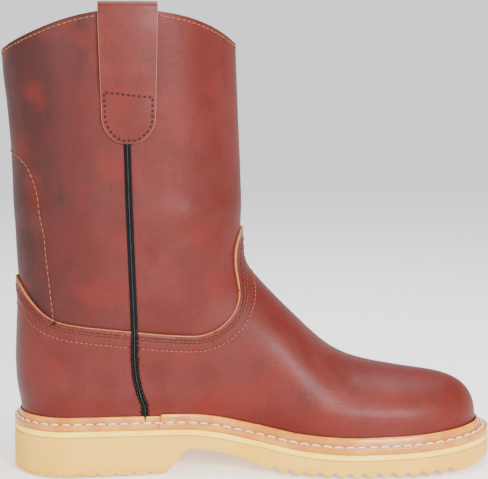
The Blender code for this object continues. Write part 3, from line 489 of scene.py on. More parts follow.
def grid_faces(rows, columns, wrap=False):
    """Four-cornered faces between neighbours in a grid; wrap joins last and first column."""
    index = np.arange(rows * columns).reshape(rows, columns)
    if wrap:
        index = np.hstack([index, index[:, :1]])
    return np.stack([index[:-1, :-1], index[:-1, 1:], index[1:, 1:], index[1:, :-1]], axis=-1).reshape(-1, 4)


def shaft_faces(rows, columns):
    """Faces of a grid over both sides of the boot, with the toe's first row closed across."""
    near = np.arange(columns // 2)
    far = columns - 1 - near
    return np.vstack([grid_faces(rows, columns), np.column_stack([near, near + 1, far - 1, far])])


def new_object(name, data):
    """Object in the scene for a mesh, a lamp or a camera."""
    new = bpy.data.objects.new(name, data)
    bpy.context.scene.collection.objects.link(new)
    return new


def add_piece(name, points, faces, finishes, slot, replaced=(), values=None, caps=False, look_out=True):
    """Mesh object from points and faces, welded and riding on the boot.

    values holds numbers for the points, by attribute name; caps closes the
    open ends of a tube; look_out turns all faces away from the middle."""
    points = points.reshape(-1, 3)
    mesh = bpy.data.meshes.new(name)
    mesh.from_pydata(points.tolist(), [], faces.tolist())
    for key, numbers in (values or {}).items():
        mesh.attributes.new(key, "FLOAT", "POINT").data.foreach_set("value", np.ravel(numbers).astype(np.float32))
    work = bmesh.new()
    work.from_mesh(mesh)
    bmesh.ops.remove_doubles(work, verts=work.verts, dist=0.000005)
    bmesh.ops.dissolve_degenerate(work, edges=work.edges, dist=0.000002)
    if caps:
        bmesh.ops.holes_fill(work, edges=work.edges, sides=0)
    bmesh.ops.recalc_face_normals(work, faces=work.faces)
    if look_out:
        middle = Vector(points.mean(axis=0))
        looks = sum(face.normal.dot(face.calc_center_median() - middle) * face.calc_area() for face in work.faces)
        if looks < 0:
            bmesh.ops.reverse_faces(work, faces=work.faces)
    work.to_mesh(mesh)
    work.free()
    mesh.shade_smooth()
    for finish in finishes:
        mesh.materials.append(finish)
    piece = new_object(name, mesh)
    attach(piece, "root")
    if replaced:
        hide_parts(*replaced)
    return piece


def add_tube(name, rings, finish, slot, **more):
    """Piece from closed rings of points, which takes the place of the solid of its name."""
    add_piece(name, rings, grid_faces(*rings.shape[:2], wrap=True), (finish,), slot, (name,), **more)


def thicken(piece, thickness, offset, inner_slot=0, rim_slot=0, even=True):
    """Give an open surface its wall: offset -1 is inwards and 1 outwards."""
    wall = piece.modifiers.new("wall", "SOLIDIFY")
    wall.thickness = thickness
    wall.offset = offset
    wall.use_even_offset = even
    wall.use_rim = True
    wall.material_offset = inner_slot
    wall.material_offset_rim = rim_slot


LEATHER_RED = (0.084, 0.0066, 0.0034, 1)
LEATHER_ROSE = (0.122, 0.0150, 0.0115, 1)
LEATHER_DARK = (0.026, 0.0032, 0.0024, 1)
LEATHER_FIRE = (0.140, 0.0070, 0.0012, 1)
RAW_EDGE = (0.420, 0.150, 0.045, 1)
RAW_EDGE_DARK = (0.230, 0.070, 0.022, 1)
FLESH_SIDE = (0.330, 0.140, 0.060, 1)
FLESH_DARK = (0.210, 0.080, 0.034, 1)
GROOVE_REACH = 0.75
GROOVE_DEPTH = 0.22


def leather(name, seed, painted_rear_shade=0.0, edge_rows=(), cut_edge=True):
    """Oily pull-up cowhide: clouds of darker and warmer red, a fine grain and soft gloss.

    The rear shade strength paints shade over the rear of the shaft: painted
    shade where less light falls.  edge_rows are the distances in millimetres of
    stitched grooves from the piece's cut edge; the grooves' reach and depth are
    in millimetres too, and the grooves are painted darker as painted shade."""
    material, shader, place = new_finish(name, {"Specular IOR Level": 0.24, "Coat Roughness": 0.30})
    moved = place.stretched((1, 1, 1), shift=(seed, seed / 3, 0))
    clouds = moved.noise(0.055, 4, 0.55)
    streaks = moved.stretched((1, 1, 0.45)).noise(0.018, 5, 0.6)
    specks = moved.noise(0.0016, 3, 0.6)
    x, _, z = place.parts()
    # Painted shade: the rear of the shaft above the heel is darkened, where less light falls
    rear = (1 - x.rise(-0.03, 0.06)) * z.rise(0.06, 0.11)
    rose = (clouds * 0.6 + streaks * 0.4).rise(0.42, 0.62)
    colour = rose.between(LEATHER_RED, LEATHER_ROSE)
    dark = streaks.rise(0.45, 0.75) * 0.30 + clouds.rise(0.50, 0.75) * 0.30
    dark = dark + rear * painted_rear_shade * (0.45 + 0.4 * clouds.rise(0.35, 0.6) + 0.25 * streaks.rise(0.4, 0.65))
    colour = dark.least(0.85).between(colour, LEATHER_DARK)
    fire = (moved.noise(0.035, 3).rise(0.52, 0.68) * 0.4 + (1 - z.rise(0.03, 0.06)) * 0.35)
    colour = fire.between(colour, LEATHER_FIRE)
    colour = (specks.rise(0.52, 0.72) * 0.30).between(colour, LEATHER_DARK)
    grain = moved.cells(0.0011, "SMOOTH_F1")
    wrinkles = moved.stretched((1, 1, 1.6)).noise(0.0045, 4, 0.65)
    height = grain * 0.06 + wrinkles * 0.24 + specks * 0.05
    roughness = streaks * 0.18 + specks * 0.10 + 0.38
    gap = place.attribute("edge_gap")
    for row in edge_rows:
        groove = (1 - (((gap - row) / GROOVE_REACH) ** 2).least(1.0)) ** 2
        height = height - groove * GROOVE_DEPTH
        # Painted shade: each stitched groove is painted darker
        colour = (groove * 0.45).between(colour, LEATHER_DARK)
    if cut_edge:
        colour = (1 - gap.rise(0.2, 0.6)).between(colour, RAW_EDGE)
    paint(shader, colour=colour, roughness=roughness, height=height, coat=clouds * 0.08 + 0.01)
    return material


raw_edge, shader, place = new_finish("raw_leather_edge", {})
layers = place.stretched((1, 1, 3)).noise(0.0012, 3)
paint(shader, colour=layers.rise(0.35, 0.7).between(RAW_EDGE, RAW_EDGE_DARK), roughness=layers * 0.2 + 0.6,
      height=layers * 0.15)
flesh_side, shader, place = new_finish("leather_flesh_side", {"Sheen Weight": 0.25, "Sheen Roughness": 0.5})
nap = place.noise(0.0013, 4, 0.7)
worn = place.noise(0.04, 3)
paint(shader, colour=(worn * 0.6 + nap * 0.4).rise(0.35, 0.7).between(FLESH_SIDE, FLESH_DARK),
      roughness=nap * 0.1 + 0.82, height=nap * 0.25)
# The shaft gets painted shade over its rear
shaft_leather = leather("shaft_leather", 0.0, painted_rear_shade=0.9, cut_edge=False)

points, normals, places = both_sides(*upper_rows(26, 56, 14, 56, 64, 60))
shaft = add_piece("shaft", points, shaft_faces(*points.shape[:2]), (shaft_leather, flesh_side, raw_edge),
                  "shaft_leather", ("upper",))
thicken(shaft, UPPER_WALL, -1, 1, 2)


# Vamp and heel foxing: the same hide laid over the shaft, cut in one sweeping
# line from the back seam to a peak over the instep.  Their raw edges show tan,
# and two close rows and one wide row of stitches hold them to the shaft.

OVERLAY_GAP = 0.0005
OVERLAY_THICKNESS = 0.0016
OVERLAY_TOP = OVERLAY_GAP + OVERLAY_THICKNESS
VAMP_ROWS = (3.2, 4.9, 9.8)
SEAM_TUCK = 0.0017
EDGE_LIFT = 0.00012
EDGE_RUN = 0.006
LINE_RUN_ON = 60

# Columns: share of the way from back line to front line, share of the instep
VAMP_LINE = np.array((
    (0, 0.912), (0.0558, 0.822), (0.1117, 0.757), (0.1665, 0.727), (0.2366, 0.712), (0.3396, 0.695),
    (0.4202, 0.682), (0.5052, 0.667), (0.6035, 0.656), (0.6576, 0.662), (0.7253, 0.692), (0.7997, 0.745),
    (0.8693, 0.812), (0.9156, 0.88), (0.95, 0.96), (0.9654, 1.045), (0.9854, 1.105), (1, 1.135)))

# Columns: share of the sole's length, share of the instep's height
SIDE_SEAM = np.array((
    (0.245, 1.56), (0.2475, 1.28), (0.251, 1), (0.2545, 0.69), (0.255, 0.51), (0.2615, 0.41), (0.273, 0.325)))


def seam_place(z):
    """Station of the side seam at a height."""
    return smooth_value(SIDE_SEAM[::-1, 1] * INSTEP_HEIGHT, SIDE_SEAM[::-1, 0] * SOLE_LENGTH, z)


def vamp_field(s, z):
    """Distance in side view below the vamp's cut line; it is negative above."""
    tips = VAMP_EDGE[[0, -1]]
    step = VAMP_EDGE[3::3] - VAMP_EDGE[:-3:3]
    away = (2 * tips - VAMP_EDGE[[1, -2]] - tips) * LINE_RUN_ON
    start = np.vstack([VAMP_EDGE[:-1:3][:len(step)], tips])
    step = np.vstack([step, away])
    at = np.column_stack([np.ravel(s), np.ravel(z)])
    share = np.clip(((at[:, None] - start) * step).sum(-1) / (step ** 2).sum(-1), 0, 1)
    gap = np.linalg.norm(at[:, None] - start - share[..., None] * step, axis=-1).min(axis=1)
    line = np.vstack([(-1, 1), tips[0] + away[0], VAMP_EDGE, tips[1] + away[1], (1, 1), (1, -1), (-1, -1)])
    (s0, z0), (s1, z1) = line.T, np.roll(line, -1, axis=0).T
    slope = (s1 - s0) / np.where(z1 == z0, 1, z1 - z0)
    crossed = ((z0 > at[:, 1:]) != (z1 > at[:, 1:])) & (at[:, :1] < s0 + slope * (at[:, 1:] - z0))
    return (gap * np.where(crossed.sum(axis=1) % 2 == 1, 1, -1)).reshape(np.shape(s))


def clipped(values, faces, field):
    """The part of a mesh where its points' field is above 0.

    values has a row of numbers for each point, and field is one of its
    columns.  A triangle that the field crosses is cut where it is 0."""
    high = values[:, field][faces] > 0
    kept = [faces[high.all(axis=1)]]
    for odd_is_high in (True, False):
        some = (high.sum(axis=1) == (1 if odd_is_high else 2))
        odd = np.argmax(high[some] == odd_is_high, axis=1)
        a, b, c = (faces[some][np.arange(len(odd)), (odd + turn) % 3] for turn in (0, 1, 2))
        cuts = [mix(values[a], values[other], (values[a, field] / (values[a, field] - values[other, field]))[:, None])
                for other in (b, c)]
        first = len(values) + np.arange(len(a))
        second = first + len(a)
        values = np.vstack([values, *cuts])
        if odd_is_high:
            kept.append(np.column_stack([a, first, second]))
        else:
            kept += [np.column_stack([first, b, c]), np.column_stack([first, c, second])]
    used, faces = np.unique(np.vstack(kept), return_inverse=True)
    return values[used], faces.reshape(-1, 3)


def overlay(name, way):
    """Leather laid over the shaft below the vamp's cut line, ahead of the side seam (way 1) or behind it (-1).

    It is cut from the shaft's own points, and lies down tight at its cut edge."""
    s, z = np.abs(places[0]), np.abs(places[1])
    gap = vamp_field(s, z)
    lift = EDGE_LIFT + (OVERLAY_GAP - EDGE_LIFT) * ease(gap / EDGE_RUN)
    off_seam = way * (s - seam_place(z)) - SEAM_TUCK
    values = np.concatenate([points + normals * lift[..., None], gap[..., None], off_seam[..., None]], axis=-1)
    quads = shaft_faces(*s.shape)
    values, faces = clipped(values.reshape(-1, 5), np.vstack([quads[:, :3], quads[:, [0, 2, 3]]]), 3)
    values, faces = clipped(values, faces, 4)
    piece = add_piece(name, values[:, :3], faces, (vamp_leather, raw_edge), "vamp_leather", (name,),
                      {"edge_gap": values[:, 3] * 1000})
    thicken(piece, OVERLAY_THICKNESS, 1, 0, 1, even=False)


z = VAMP_LINE[:, 1] * INSTEP_HEIGHT
VAMP_EDGE = smooth_curve(np.column_stack([mix(back_place(z), front_place(z), VAMP_LINE[:, 0]), z]), 18)
vamp_leather = leather("vamp_leather", 0.31, edge_rows=VAMP_ROWS)
overlay("vamp", 1)
overlay("heel_foxing", -1)


# Side seam piping: a black leather strip with a corded bead down its middle,
# laid over both side seams from the strap to the welt and sewn on both flanks.

PIPING_BLACK = (0.0015, 0.0014, 0.0015, 1)
PIPING_GLINT_GREY = (0.060, 0.057, 0.056, 1)
STRAP_LENGTH = 0.079
PIPING_WIDTH = 0.0042
PIPING_LIFT = 0.0003
PIPING_SINK = 0.0005
PIPING_TUCK = 0.004
PIPING_FOOT_GAP = 0.0008
PIPING_STEP = 0.003
BEAD_EDGE = 0.2
PIPING_FOOT = 0.27
SIDES = (("medial", -1), ("lateral", 1))


def leather_point(s, z, side, lift=0.0):
    """Points and unit normals of the leather's outer face at side-view places.

    The normal is the cross product of two short steps along the face."""
    step = 0.0001

    def bare(s, z):
        centre, half = centre_half(s, z)
        return np.stack([s - HEEL_CENTRE, centre + side * half, z], axis=-1)

    normals = unit(np.cross(bare(s + step, z) - bare(s - step, z), bare(s, z + step) - bare(s, z - step)) * -side)
    turn = side * sideways(centre_half(s, z)[1])
    return bare(s, z) + normals * (fold_relief(s, z, turn) + lift)[..., None], normals


piping_finish, shader, place = new_finish("piping_leather", {"Specular IOR Level": 0.12})
scuffs_and_glint = place.noise(0.004, 4)
bead = place.attribute("bead")
# Grey on the bead's ridge is a painted glint, broken up by scuff marks; the strip itself is black
paint(shader, colour=(bead.rise(0.5, 1.0) * scuffs_and_glint).between(PIPING_BLACK, PIPING_GLINT_GREY),
      roughness=scuffs_and_glint * 0.2 + 0.28, height=place.noise(0.0009, 3) * 0.08)

# Columns: share of the width off the bead's middle, height in millimetres
PIPING_PROFILE = np.array((
    (0.0, 1.45), (0.07, 1.38), (0.13, 1.10), (0.17, 0.72), (0.20, 0.55), (0.28, 0.55), (0.38, 0.56),
    (0.46, 0.50), (0.50, 0.3), (0.50, -0.4)))
piping_shares, piping_rises = np.vstack([PIPING_PROFILE[:0:-1] * (-1, 1), PIPING_PROFILE]).T
seam_top = BOOT_HEIGHT - STRAP_LENGTH + PIPING_TUCK
seam_foot = float(feather(PIPING_FOOT * SOLE_LENGTH)) + WELT_THICKNESS + PIPING_FOOT_GAP
joint_z = float(VAMP_EDGE[np.argmin(np.abs(VAMP_EDGE[:, 0] - seam_place(VAMP_EDGE[:, 1]))), 1])
for name, side in SIDES:
    z = np.linspace(seam_foot, seam_top, 170)
    s = seam_place(z)
    over = OVERLAY_TOP * ease((joint_z + PIPING_STEP / 2 - z) / PIPING_STEP)
    points, normals = leather_point(s, z, side)
    across = np.cross(unit(np.gradient(points, axis=0)), normals) * side
    rise = over[:, None] + piping_rises / 1000 + PIPING_LIFT
    rise[:, [0, -1]] = over[:, None] - PIPING_SINK
    points = (points[:, None] + across[:, None] * piping_shares[:, None] * PIPING_WIDTH
              + normals[:, None] * rise[..., None])
    bead = np.clip(1 - np.abs(piping_shares) / BEAD_EDGE, 0, 1)
    add_tube(name + "_piping", points, piping_finish, "piping", values={"bead": np.tile(bead, (len(z), 1))}, caps=True)


# Pull straps: two bands of the same leather, folded over the collar above each
# side seam, with a long sewn tail outside and a shorter one inside.

STRAP_WIDTH = 0.035
STRAP_TAPER = 0.004
STRAP_INNER_LENGTH = 0.040
STRAP_THICKNESS = 0.0020
STRAP_LOOP = 0.0040
STRAP_SHIFT = 0.0010
STRAP_SEW_TOP = 0.2375
STRAP_SEW_INSET = 0.0021
STRAP_STANDS_OFF = 0.0011
STRAP_EDGE_TAN = 0.22
STRAP_ROUNDING = 0.45
STRAP_RISE_RUN = 0.012
STRAP_TOP_RUN = 0.014
COLLAR_STEP = 0.001

strap_leather = leather("strap_leather", 0.67)
low = BOOT_HEIGHT - STRAP_LENGTH


def strap_half(z):
    """Half width of the strap's outer tail at a height, with its round end."""
    width = STRAP_WIDTH - STRAP_TAPER * (1 - np.clip((z - low) / STRAP_LENGTH, 0, 1))
    return width / 2 * rounding(z - low + 0.00002, STRAP_ROUNDING * STRAP_WIDTH)


def strap_lift(z):
    """Height of the strap's outer tail over the shaft: sewn down low, standing off above."""
    leaving = ease((z - STRAP_SEW_TOP) / STRAP_RISE_RUN) * ease((BOOT_HEIGHT - z) / STRAP_TOP_RUN)
    return OVERLAY_GAP * 0.5 + STRAP_STANDS_OFF * leaving


strap_middle = float(seam_place(np.array(BOOT_HEIGHT))) + STRAP_SHIFT
for name, side in SIDES:
    tail = mix(low, BOOT_HEIGHT + JOINT_GAP, np.linspace(0, 1, 60) ** 1.4)
    turn = np.linspace(0, np.pi, 17)[1:-1]
    inner = np.linspace(BOOT_HEIGHT + JOINT_GAP, BOOT_HEIGHT - STRAP_INNER_LENGTH, 24)
    z = np.concatenate([tail, BOOT_HEIGHT + JOINT_GAP + 0.6 * STRAP_LOOP * np.sin(turn), inner])
    inside = -UPPER_WALL - 2 * OVERLAY_GAP
    off = np.concatenate([strap_lift(tail), mix(OVERLAY_GAP * 0.5, inside, (1 - np.cos(turn)) / 2),
                          np.full(len(inner), inside)])
    half = np.where(np.arange(len(z)) < len(tail), strap_half(z), STRAP_WIDTH / 2)
    s = strap_middle + half[:, None] * np.sin(np.linspace(-np.pi / 2, np.pi / 2, 25))
    level = np.minimum(z, BOOT_HEIGHT - COLLAR_STEP)[:, None] + 0 * s
    centre, breadth = centre_half(s, level)
    relief = fold_relief(s, level, side * sideways(breadth))
    y = centre + side * (breadth + off[:, None] + relief)
    points = np.stack([s - HEEL_CENTRE, y, z[:, None] + 0 * s], axis=-1)
    gap = (half[:, None] - np.abs(s - strap_middle)) * 1000 + STRAP_EDGE_TAN
    strap = add_piece(name + "_pull_strap", points, grid_faces(*s.shape), (strap_leather, raw_edge),
                      "strap_leather", (name + "_pull_strap",), {"edge_gap": gap}, look_out=False)
    lowest = min(strap.data.polygons, key=lambda face: face.center.z)
    if lowest.normal.y * side < 0:
        strap.data.flip_normals()
    thicken(strap, STRAP_THICKNESS, 1, 0, 1)


# Welts: strips of glossy tan leather sewn round the upper with thick white
# thread.  The front one has a high rounded rib against the leather, the rear
# one a lower rib, and they meet butted beside the arch.

REAR_RIB_HEIGHT = 0.0042
WELT_GAP = 0.0004
WELT_JOINT = 0.300
SEAM_GAP = 0.0004
HEEL_RUN = 0.11
TOE_RUN = 0.14
THREAD_GROOVE = 0.37
RIB_FOOT = 0.61
WELT_TAN = (0.540, 0.175, 0.012, 1)
WELT_HONEY = (0.300, 0.062, 0.005, 1)
WELT_PALE = (0.660, 0.260, 0.028, 1)

# Columns: share of the way in, share of the thickness, share of the rib
WELT_PROFILE = np.array((
    (0, 0, 0), (0, 0.4, 0), (0, 0.78, 0), (0.015, 0.92, 0), (0.05, 1, 0), (0.14, 1.02, 0), (0.26, 1, 0),
    (0.32, 0.94, 0), (0.37, 0.88, 0), (0.42, 0.94, 0), (0.48, 1, 0), (0.56, 1, 0), (0.61, 0.92, 0.02),
    (0.65, 0.96, 0.22), (0.69, 1, 0.5), (0.75, 1, 0.76), (0.82, 1, 0.94), (0.89, 1, 1), (0.96, 1, 0.97),
    (1, 1, 0.86), (1, 0, 0)))


def feather_loop(shares, outwards):
    """Outline of the upper at its lower edge, moved outwards in plan.

    shares run from 0 at the back along the inner side to 1 at the tip, and
    on to 2 along the outer side."""
    back = back_place(feather(0.0))
    s = back + (TIP_S - back) * np.where(shares <= 1, shares, 2 - shares)
    side = np.where(shares <= 1, -1.0, 1.0)
    centre, half = centre_half(s, feather(s))
    points = np.column_stack([s, centre + side * half])
    ahead = unit(np.roll(points, -1, axis=0) - np.roll(points, 1, axis=0))
    return points + np.column_stack([ahead[:, 1], -ahead[:, 0]]) * outwards


def sole_outline(share, inset=0.0, toe_inset=0.0):
    """Station, inner and outer side of the sole's outline at shares of its length."""
    s = inset + (SOLE_LENGTH - 2 * inset - toe_inset) * share
    heel_end = rounding(s - inset, HEEL_WIDTH / 2 - inset)
    toe_end = rounding(SOLE_LENGTH - inset - toe_inset - s, TOE_ROUNDING - inset)
    half = (plan_half(s) - inset) * heel_end * toe_end
    return s, plan_centre(s) - half, plan_centre(s) + half


def sole_shares(rounded, low, high, straight):
    """Shares of the sole's length: rounded ones crowd toward its ends, straight ones are even."""
    crowd = 1 - np.cos(np.linspace(0, np.pi / 2, rounded))
    return np.unique(np.concatenate([HEEL_RUN * crowd, np.linspace(low, high, straight), 1 - TOE_RUN * crowd]))


def welt_places(shares, way_in):
    """Plan places between the sole's outline, at 0, and the upper, at 1."""
    fine = sole_shares(160, HEEL_RUN, 1 - TOE_RUN, 500)
    around = np.concatenate([fine[:-1], 2 - fine[::-1]])[:-1]
    loop = feather_loop(around, OVERLAY_TOP + WELT_GAP)
    inner = np.column_stack([np.interp(shares % 2, around, loop[:, part], period=2) for part in (0, 1)])
    one_way = np.where(shares % 2 <= 1, shares % 2, 2 - shares % 2)
    s, low_side, high_side = sole_outline(one_way, JOINT_GAP)
    outer = np.column_stack([s, np.where(shares % 2 <= 1, low_side, high_side)])
    return mix(outer, inner, way_in)


welt_leather, shader, place = new_finish("welt_leather", {"Specular IOR Level": 0.35, "Coat Roughness": 0.15})
clouds = place.noise(0.012, 4)
streaks = place.stretched((0.4, 0.4, 4)).noise(0.004, 4)
way_in = place.attribute("way_in")
# Painted shade: the welt is painted darker at the foot of its rib and in the thread groove
painted_groove_shade = (1 - ((way_in - RIB_FOOT) / 0.05).size().least(1.0)) * 0.6
painted_groove_shade = painted_groove_shade + (1 - ((way_in - THREAD_GROOVE) / 0.09).size().least(1.0)) * 0.3
colour = clouds.rise(0.35, 0.65).between(WELT_TAN, WELT_PALE)
colour = (streaks.rise(0.5, 0.75) * 0.5 + painted_groove_shade).least(1.0).between(colour, WELT_HONEY)
paint(shader, colour=colour, roughness=clouds * 0.18 + 0.22, height=streaks * 0.12 + place.noise(0.0011, 3) * 0.03,
      coat=clouds * 0.25)

bend = np.linspace(0, 1, 40)[:-1]
front = np.concatenate([np.linspace(WELT_JOINT + 0.5 * SEAM_GAP / SOLE_LENGTH, 1 - TOE_RUN, 130),
                        1 - TOE_RUN * (1 - np.sin(np.pi / 2 * bend[1:]))])
rear = np.concatenate([HEEL_RUN * (1 - np.cos(np.pi / 2 * bend)),
                       np.linspace(HEEL_RUN, WELT_JOINT - 0.5 * SEAM_GAP / SOLE_LENGTH, 40)])
for name, shares, rib in (("welt", np.concatenate([front, [1.0], 2 - front[::-1]]), RIB_HEIGHT),
                          ("rear_welt", np.concatenate([-rear[:0:-1], rear]), REAR_RIB_HEIGHT)):
    rings = []
    for way, thickness, rise in WELT_PROFILE:
        flat = welt_places(shares, way)
        height = feather(flat[:, 0]) + thickness * WELT_THICKNESS + rise * rib
        rings.append(np.column_stack([flat[:, 0] - HEEL_CENTRE, flat[:, 1], height]))
    add_tube(name, np.stack(rings, axis=1), welt_leather, "welt_leather",
             values={"way_in": np.tile(WELT_PROFILE[:, 0], (len(shares), 1))}, caps=True, look_out=False)


# Midsole: a thin layer of pale yellow rubber between welt and outsole, trimmed
# flush, so that only its edge shows as a bright stripe.

MIDSOLE_YELLOW = (0.960, 0.620, 0.050, 1)
MIDSOLE_PALE = (0.980, 0.700, 0.100, 1)


def sole_layer(shares, levels):
    """Rings round a layer of the sole, one at each share of its length.

    levels lists inset, toe inset and height function from the bottom up; a
    ring runs over the bottom face, up the outer side and down the inner."""
    inner, outer = [], []
    for inset, toe_inset, height in levels:
        s, low_side, high_side = sole_outline(shares, inset, toe_inset)
        inner.append(np.column_stack([s - HEEL_CENTRE, low_side, height(s)]))
        outer.append(np.column_stack([s - HEEL_CENTRE, high_side, height(s)]))
    ring = [mix(inner[0], outer[0], 0.5), *outer, mix(inner[-1], outer[-1], 0.5), *reversed(inner)]
    return np.stack(ring, axis=1)


midsole_rubber, shader, place = new_finish("midsole_rubber", {"Specular IOR Level": 0.4})
clouds = place.noise(0.02, 3)
cells = place.cells(0.0009)
paint(shader, colour=clouds.rise(0.35, 0.65).between(MIDSOLE_YELLOW, MIDSOLE_PALE), roughness=clouds * 0.1 + 0.5,
      height=cells * 0.05)
rings = sole_layer(sole_shares(40, HEEL_RUN, 1 - TOE_RUN, 200), [
    (inset, 0.0, lambda s, t=t: outsole_top(s) + JOINT_GAP + t * MIDSOLE_THICKNESS)
    for inset, t in ((0.0006, 0.0), (0.0001, 0.15), (0.0, 0.5), (0.0001, 0.85), (0.0006, 1.0))])
add_tube("midsole", rings, midsole_rubber, "midsole_rubber", look_out=False)


# Outsole: one block of light foamed rubber, moulded with a heel, an arch and a
# forefoot of rounded cross lugs, and cemented under the midsole.

ARCH_HEIGHT = 0.0150
SOLE_EDGE_ROUND = 0.0026
SOLE_EDGE_RISE = 0.7 * SOLE_EDGE_ROUND
OUTSOLE_BEIGE = (0.740, 0.400, 0.030, 1)
OUTSOLE_PALE = (0.800, 0.460, 0.048, 1)
OUTSOLE_DARK = (0.520, 0.250, 0.030, 1)
ARCH = np.array((
    (0.314, 0), (0.36, 0.97), (0.385, 1), (0.41, 0.94), (0.446, 0.77), (0.478, 0.58), (0.505, 0.38), (0.53, 0.2),
    (0.56, 0.06), (0.59, 0)))
HEEL_NOTCHES = np.linspace(0.108, 0.284, 6) * SOLE_LENGTH
LUG_VALLEYS = np.linspace(0.539, 0.895, 13) * SOLE_LENGTH
NOTCH_WIDTH = 0.0040
NOTCH_DEPTH = 0.0020
LUG_DEPTH = 0.0033
LUG_SHARPNESS = 1.25
ARCH_BLUR = 0.001


def tread(s):
    """Height of the underside: ground or arch, plus heel notches and lug valleys.

    A notch is a V; the valleys are a raised cosine, drawn in to be narrow."""
    places = ARCH[:, 0] * SOLE_LENGTH
    rise = sum(np.interp(s + shift, places, ARCH[:, 1], left=0, right=0) for shift in (-ARCH_BLUR, 0, ARCH_BLUR)) / 3
    spring = smooth_value(SOLE_SIDE[:, 0] * SOLE_LENGTH, SOLE_SIDE[:, 3], s)
    base = np.maximum(rise * ARCH_HEIGHT, np.maximum(TOE_SPRING * spring, 0))
    notch = np.clip(1 - np.abs(s[:, None] - HEEL_NOTCHES) / (NOTCH_WIDTH / 2), 0, 1).max(axis=1) * NOTCH_DEPTH
    pitch = LUG_VALLEYS[1] - LUG_VALLEYS[0]
    phase = np.clip((s - LUG_VALLEYS[0]) / pitch, -0.5, len(LUG_VALLEYS) - 0.5)
    valley = (0.5 + 0.5 * np.cos(2 * np.pi * phase)) ** LUG_SHARPNESS * LUG_DEPTH
    return base + notch + valley


outsole_rubber, shader, place = new_finish("outsole_rubber", {"Specular IOR Level": 0.35})
clouds = place.noise(0.03, 3)
cells = place.cells(0.0008)
smears = place.stretched((0.35, 0.35, 3)).noise(0.005, 4)
_, _, height = place.parts()
# The outsole is painted darker towards its bottom, in smeared patches
darker_low_smears = (1 - height.rise(0.001, 0.007)) * smears.rise(0.35, 0.7)
colour = clouds.rise(0.35, 0.65).between(OUTSOLE_BEIGE, OUTSOLE_PALE)
# Painted shade: the foam's small pits are painted slightly darker
colour = (darker_low_smears * 0.7 + (1 - cells.rise(0.0, 0.5)) * 0.1).least(1.0).between(colour, OUTSOLE_DARK)
paint(shader, colour=colour, roughness=clouds * 0.12 + 0.58, height=cells * 0.09 + smears * 0.12)

levels = [(SOLE_EDGE_ROUND * (1 - np.sin(a)), SOLE_EDGE_ROUND * (1 - np.sin(a)),
           lambda s, a=a: tread(s) + SOLE_EDGE_RISE * (1 - np.cos(a))) for a in np.linspace(0, np.pi / 2, 6)]
levels += [(0.0, 0.0, lambda s, t=t: mix(tread(s) + SOLE_EDGE_RISE, outsole_top(s), t))
           for t in (0.2, 0.4, 0.6, 0.8, 0.95)]
levels += [(0.0003, 0.0, outsole_top)]
rings = sole_layer(sole_shares(40, 0.02, 0.98, 620), levels)
add_tube("outsole", rings, outsole_rubber, "outsole_rubber", look_out=False)


# Stitches: brown waxed thread on the leather, dark red on the straps, black on
# the piping, and thick white thread round the welt.  Every stitch is a short
# round bead of thread that dips into the leather at both ends.

THREAD_TAN = (0.250, 0.085, 0.030, 1)
THREAD_BROWN = (0.120, 0.030, 0.012, 1)
THREAD_DARK = (0.0060, 0.0008, 0.0008, 1)
THREAD_WHITE = (0.900, 0.780, 0.680, 1)
THREAD_BLACK = (0.0020, 0.0018, 0.0020, 1)
COLLAR_SEW_INSET = 0.0026
STITCH_SINK = 0.0002
PIPING_CLEARANCE = 0.0032
LINE_GAP = 0.0001
STRAP_CLEARANCE = 0.001
PATCH_SLOPE = 0.003
PATCH_SLOPE_RUN = 0.02
PIPING_SEW_PLACE = 0.36
PIPING_SEW_RISE = 0.0008
PIPING_SEW_FOOT = 0.006
WELT_SEW_RISE = 0.93
WELT_SEW_SUNK = 0.6

# Pitch, length and radius of each kind of stitch
VAMP_STITCH = (0.0030, 0.0024, 0.00036)
COLLAR_STITCH = (0.0034, 0.0027, 0.00036)
POCKET_STITCH = (0.0038, 0.0031, 0.00034)
STRAP_STITCH = (0.0031, 0.0016, 0.00055)
PIPING_STITCH = (0.0026, 0.0020, 0.00036)
WELT_STITCH = (0.0071, 0.0066, 0.00062)


def thread(name, colour, rough):
    """Waxed thread of one colour, darker in patches of its fine fuzz."""
    material, shader, place = new_finish(name, {"Specular IOR Level": 0.4})
    fuzz = place.noise(0.0007, 3)
    shade = tuple(0.6 * part for part in colour[:3]) + (1,)
    paint(shader, colour=fuzz.rise(0.4, 0.8).between(colour, shade), roughness=fuzz * 0.2 + rough, height=fuzz * 0.08)
    return material


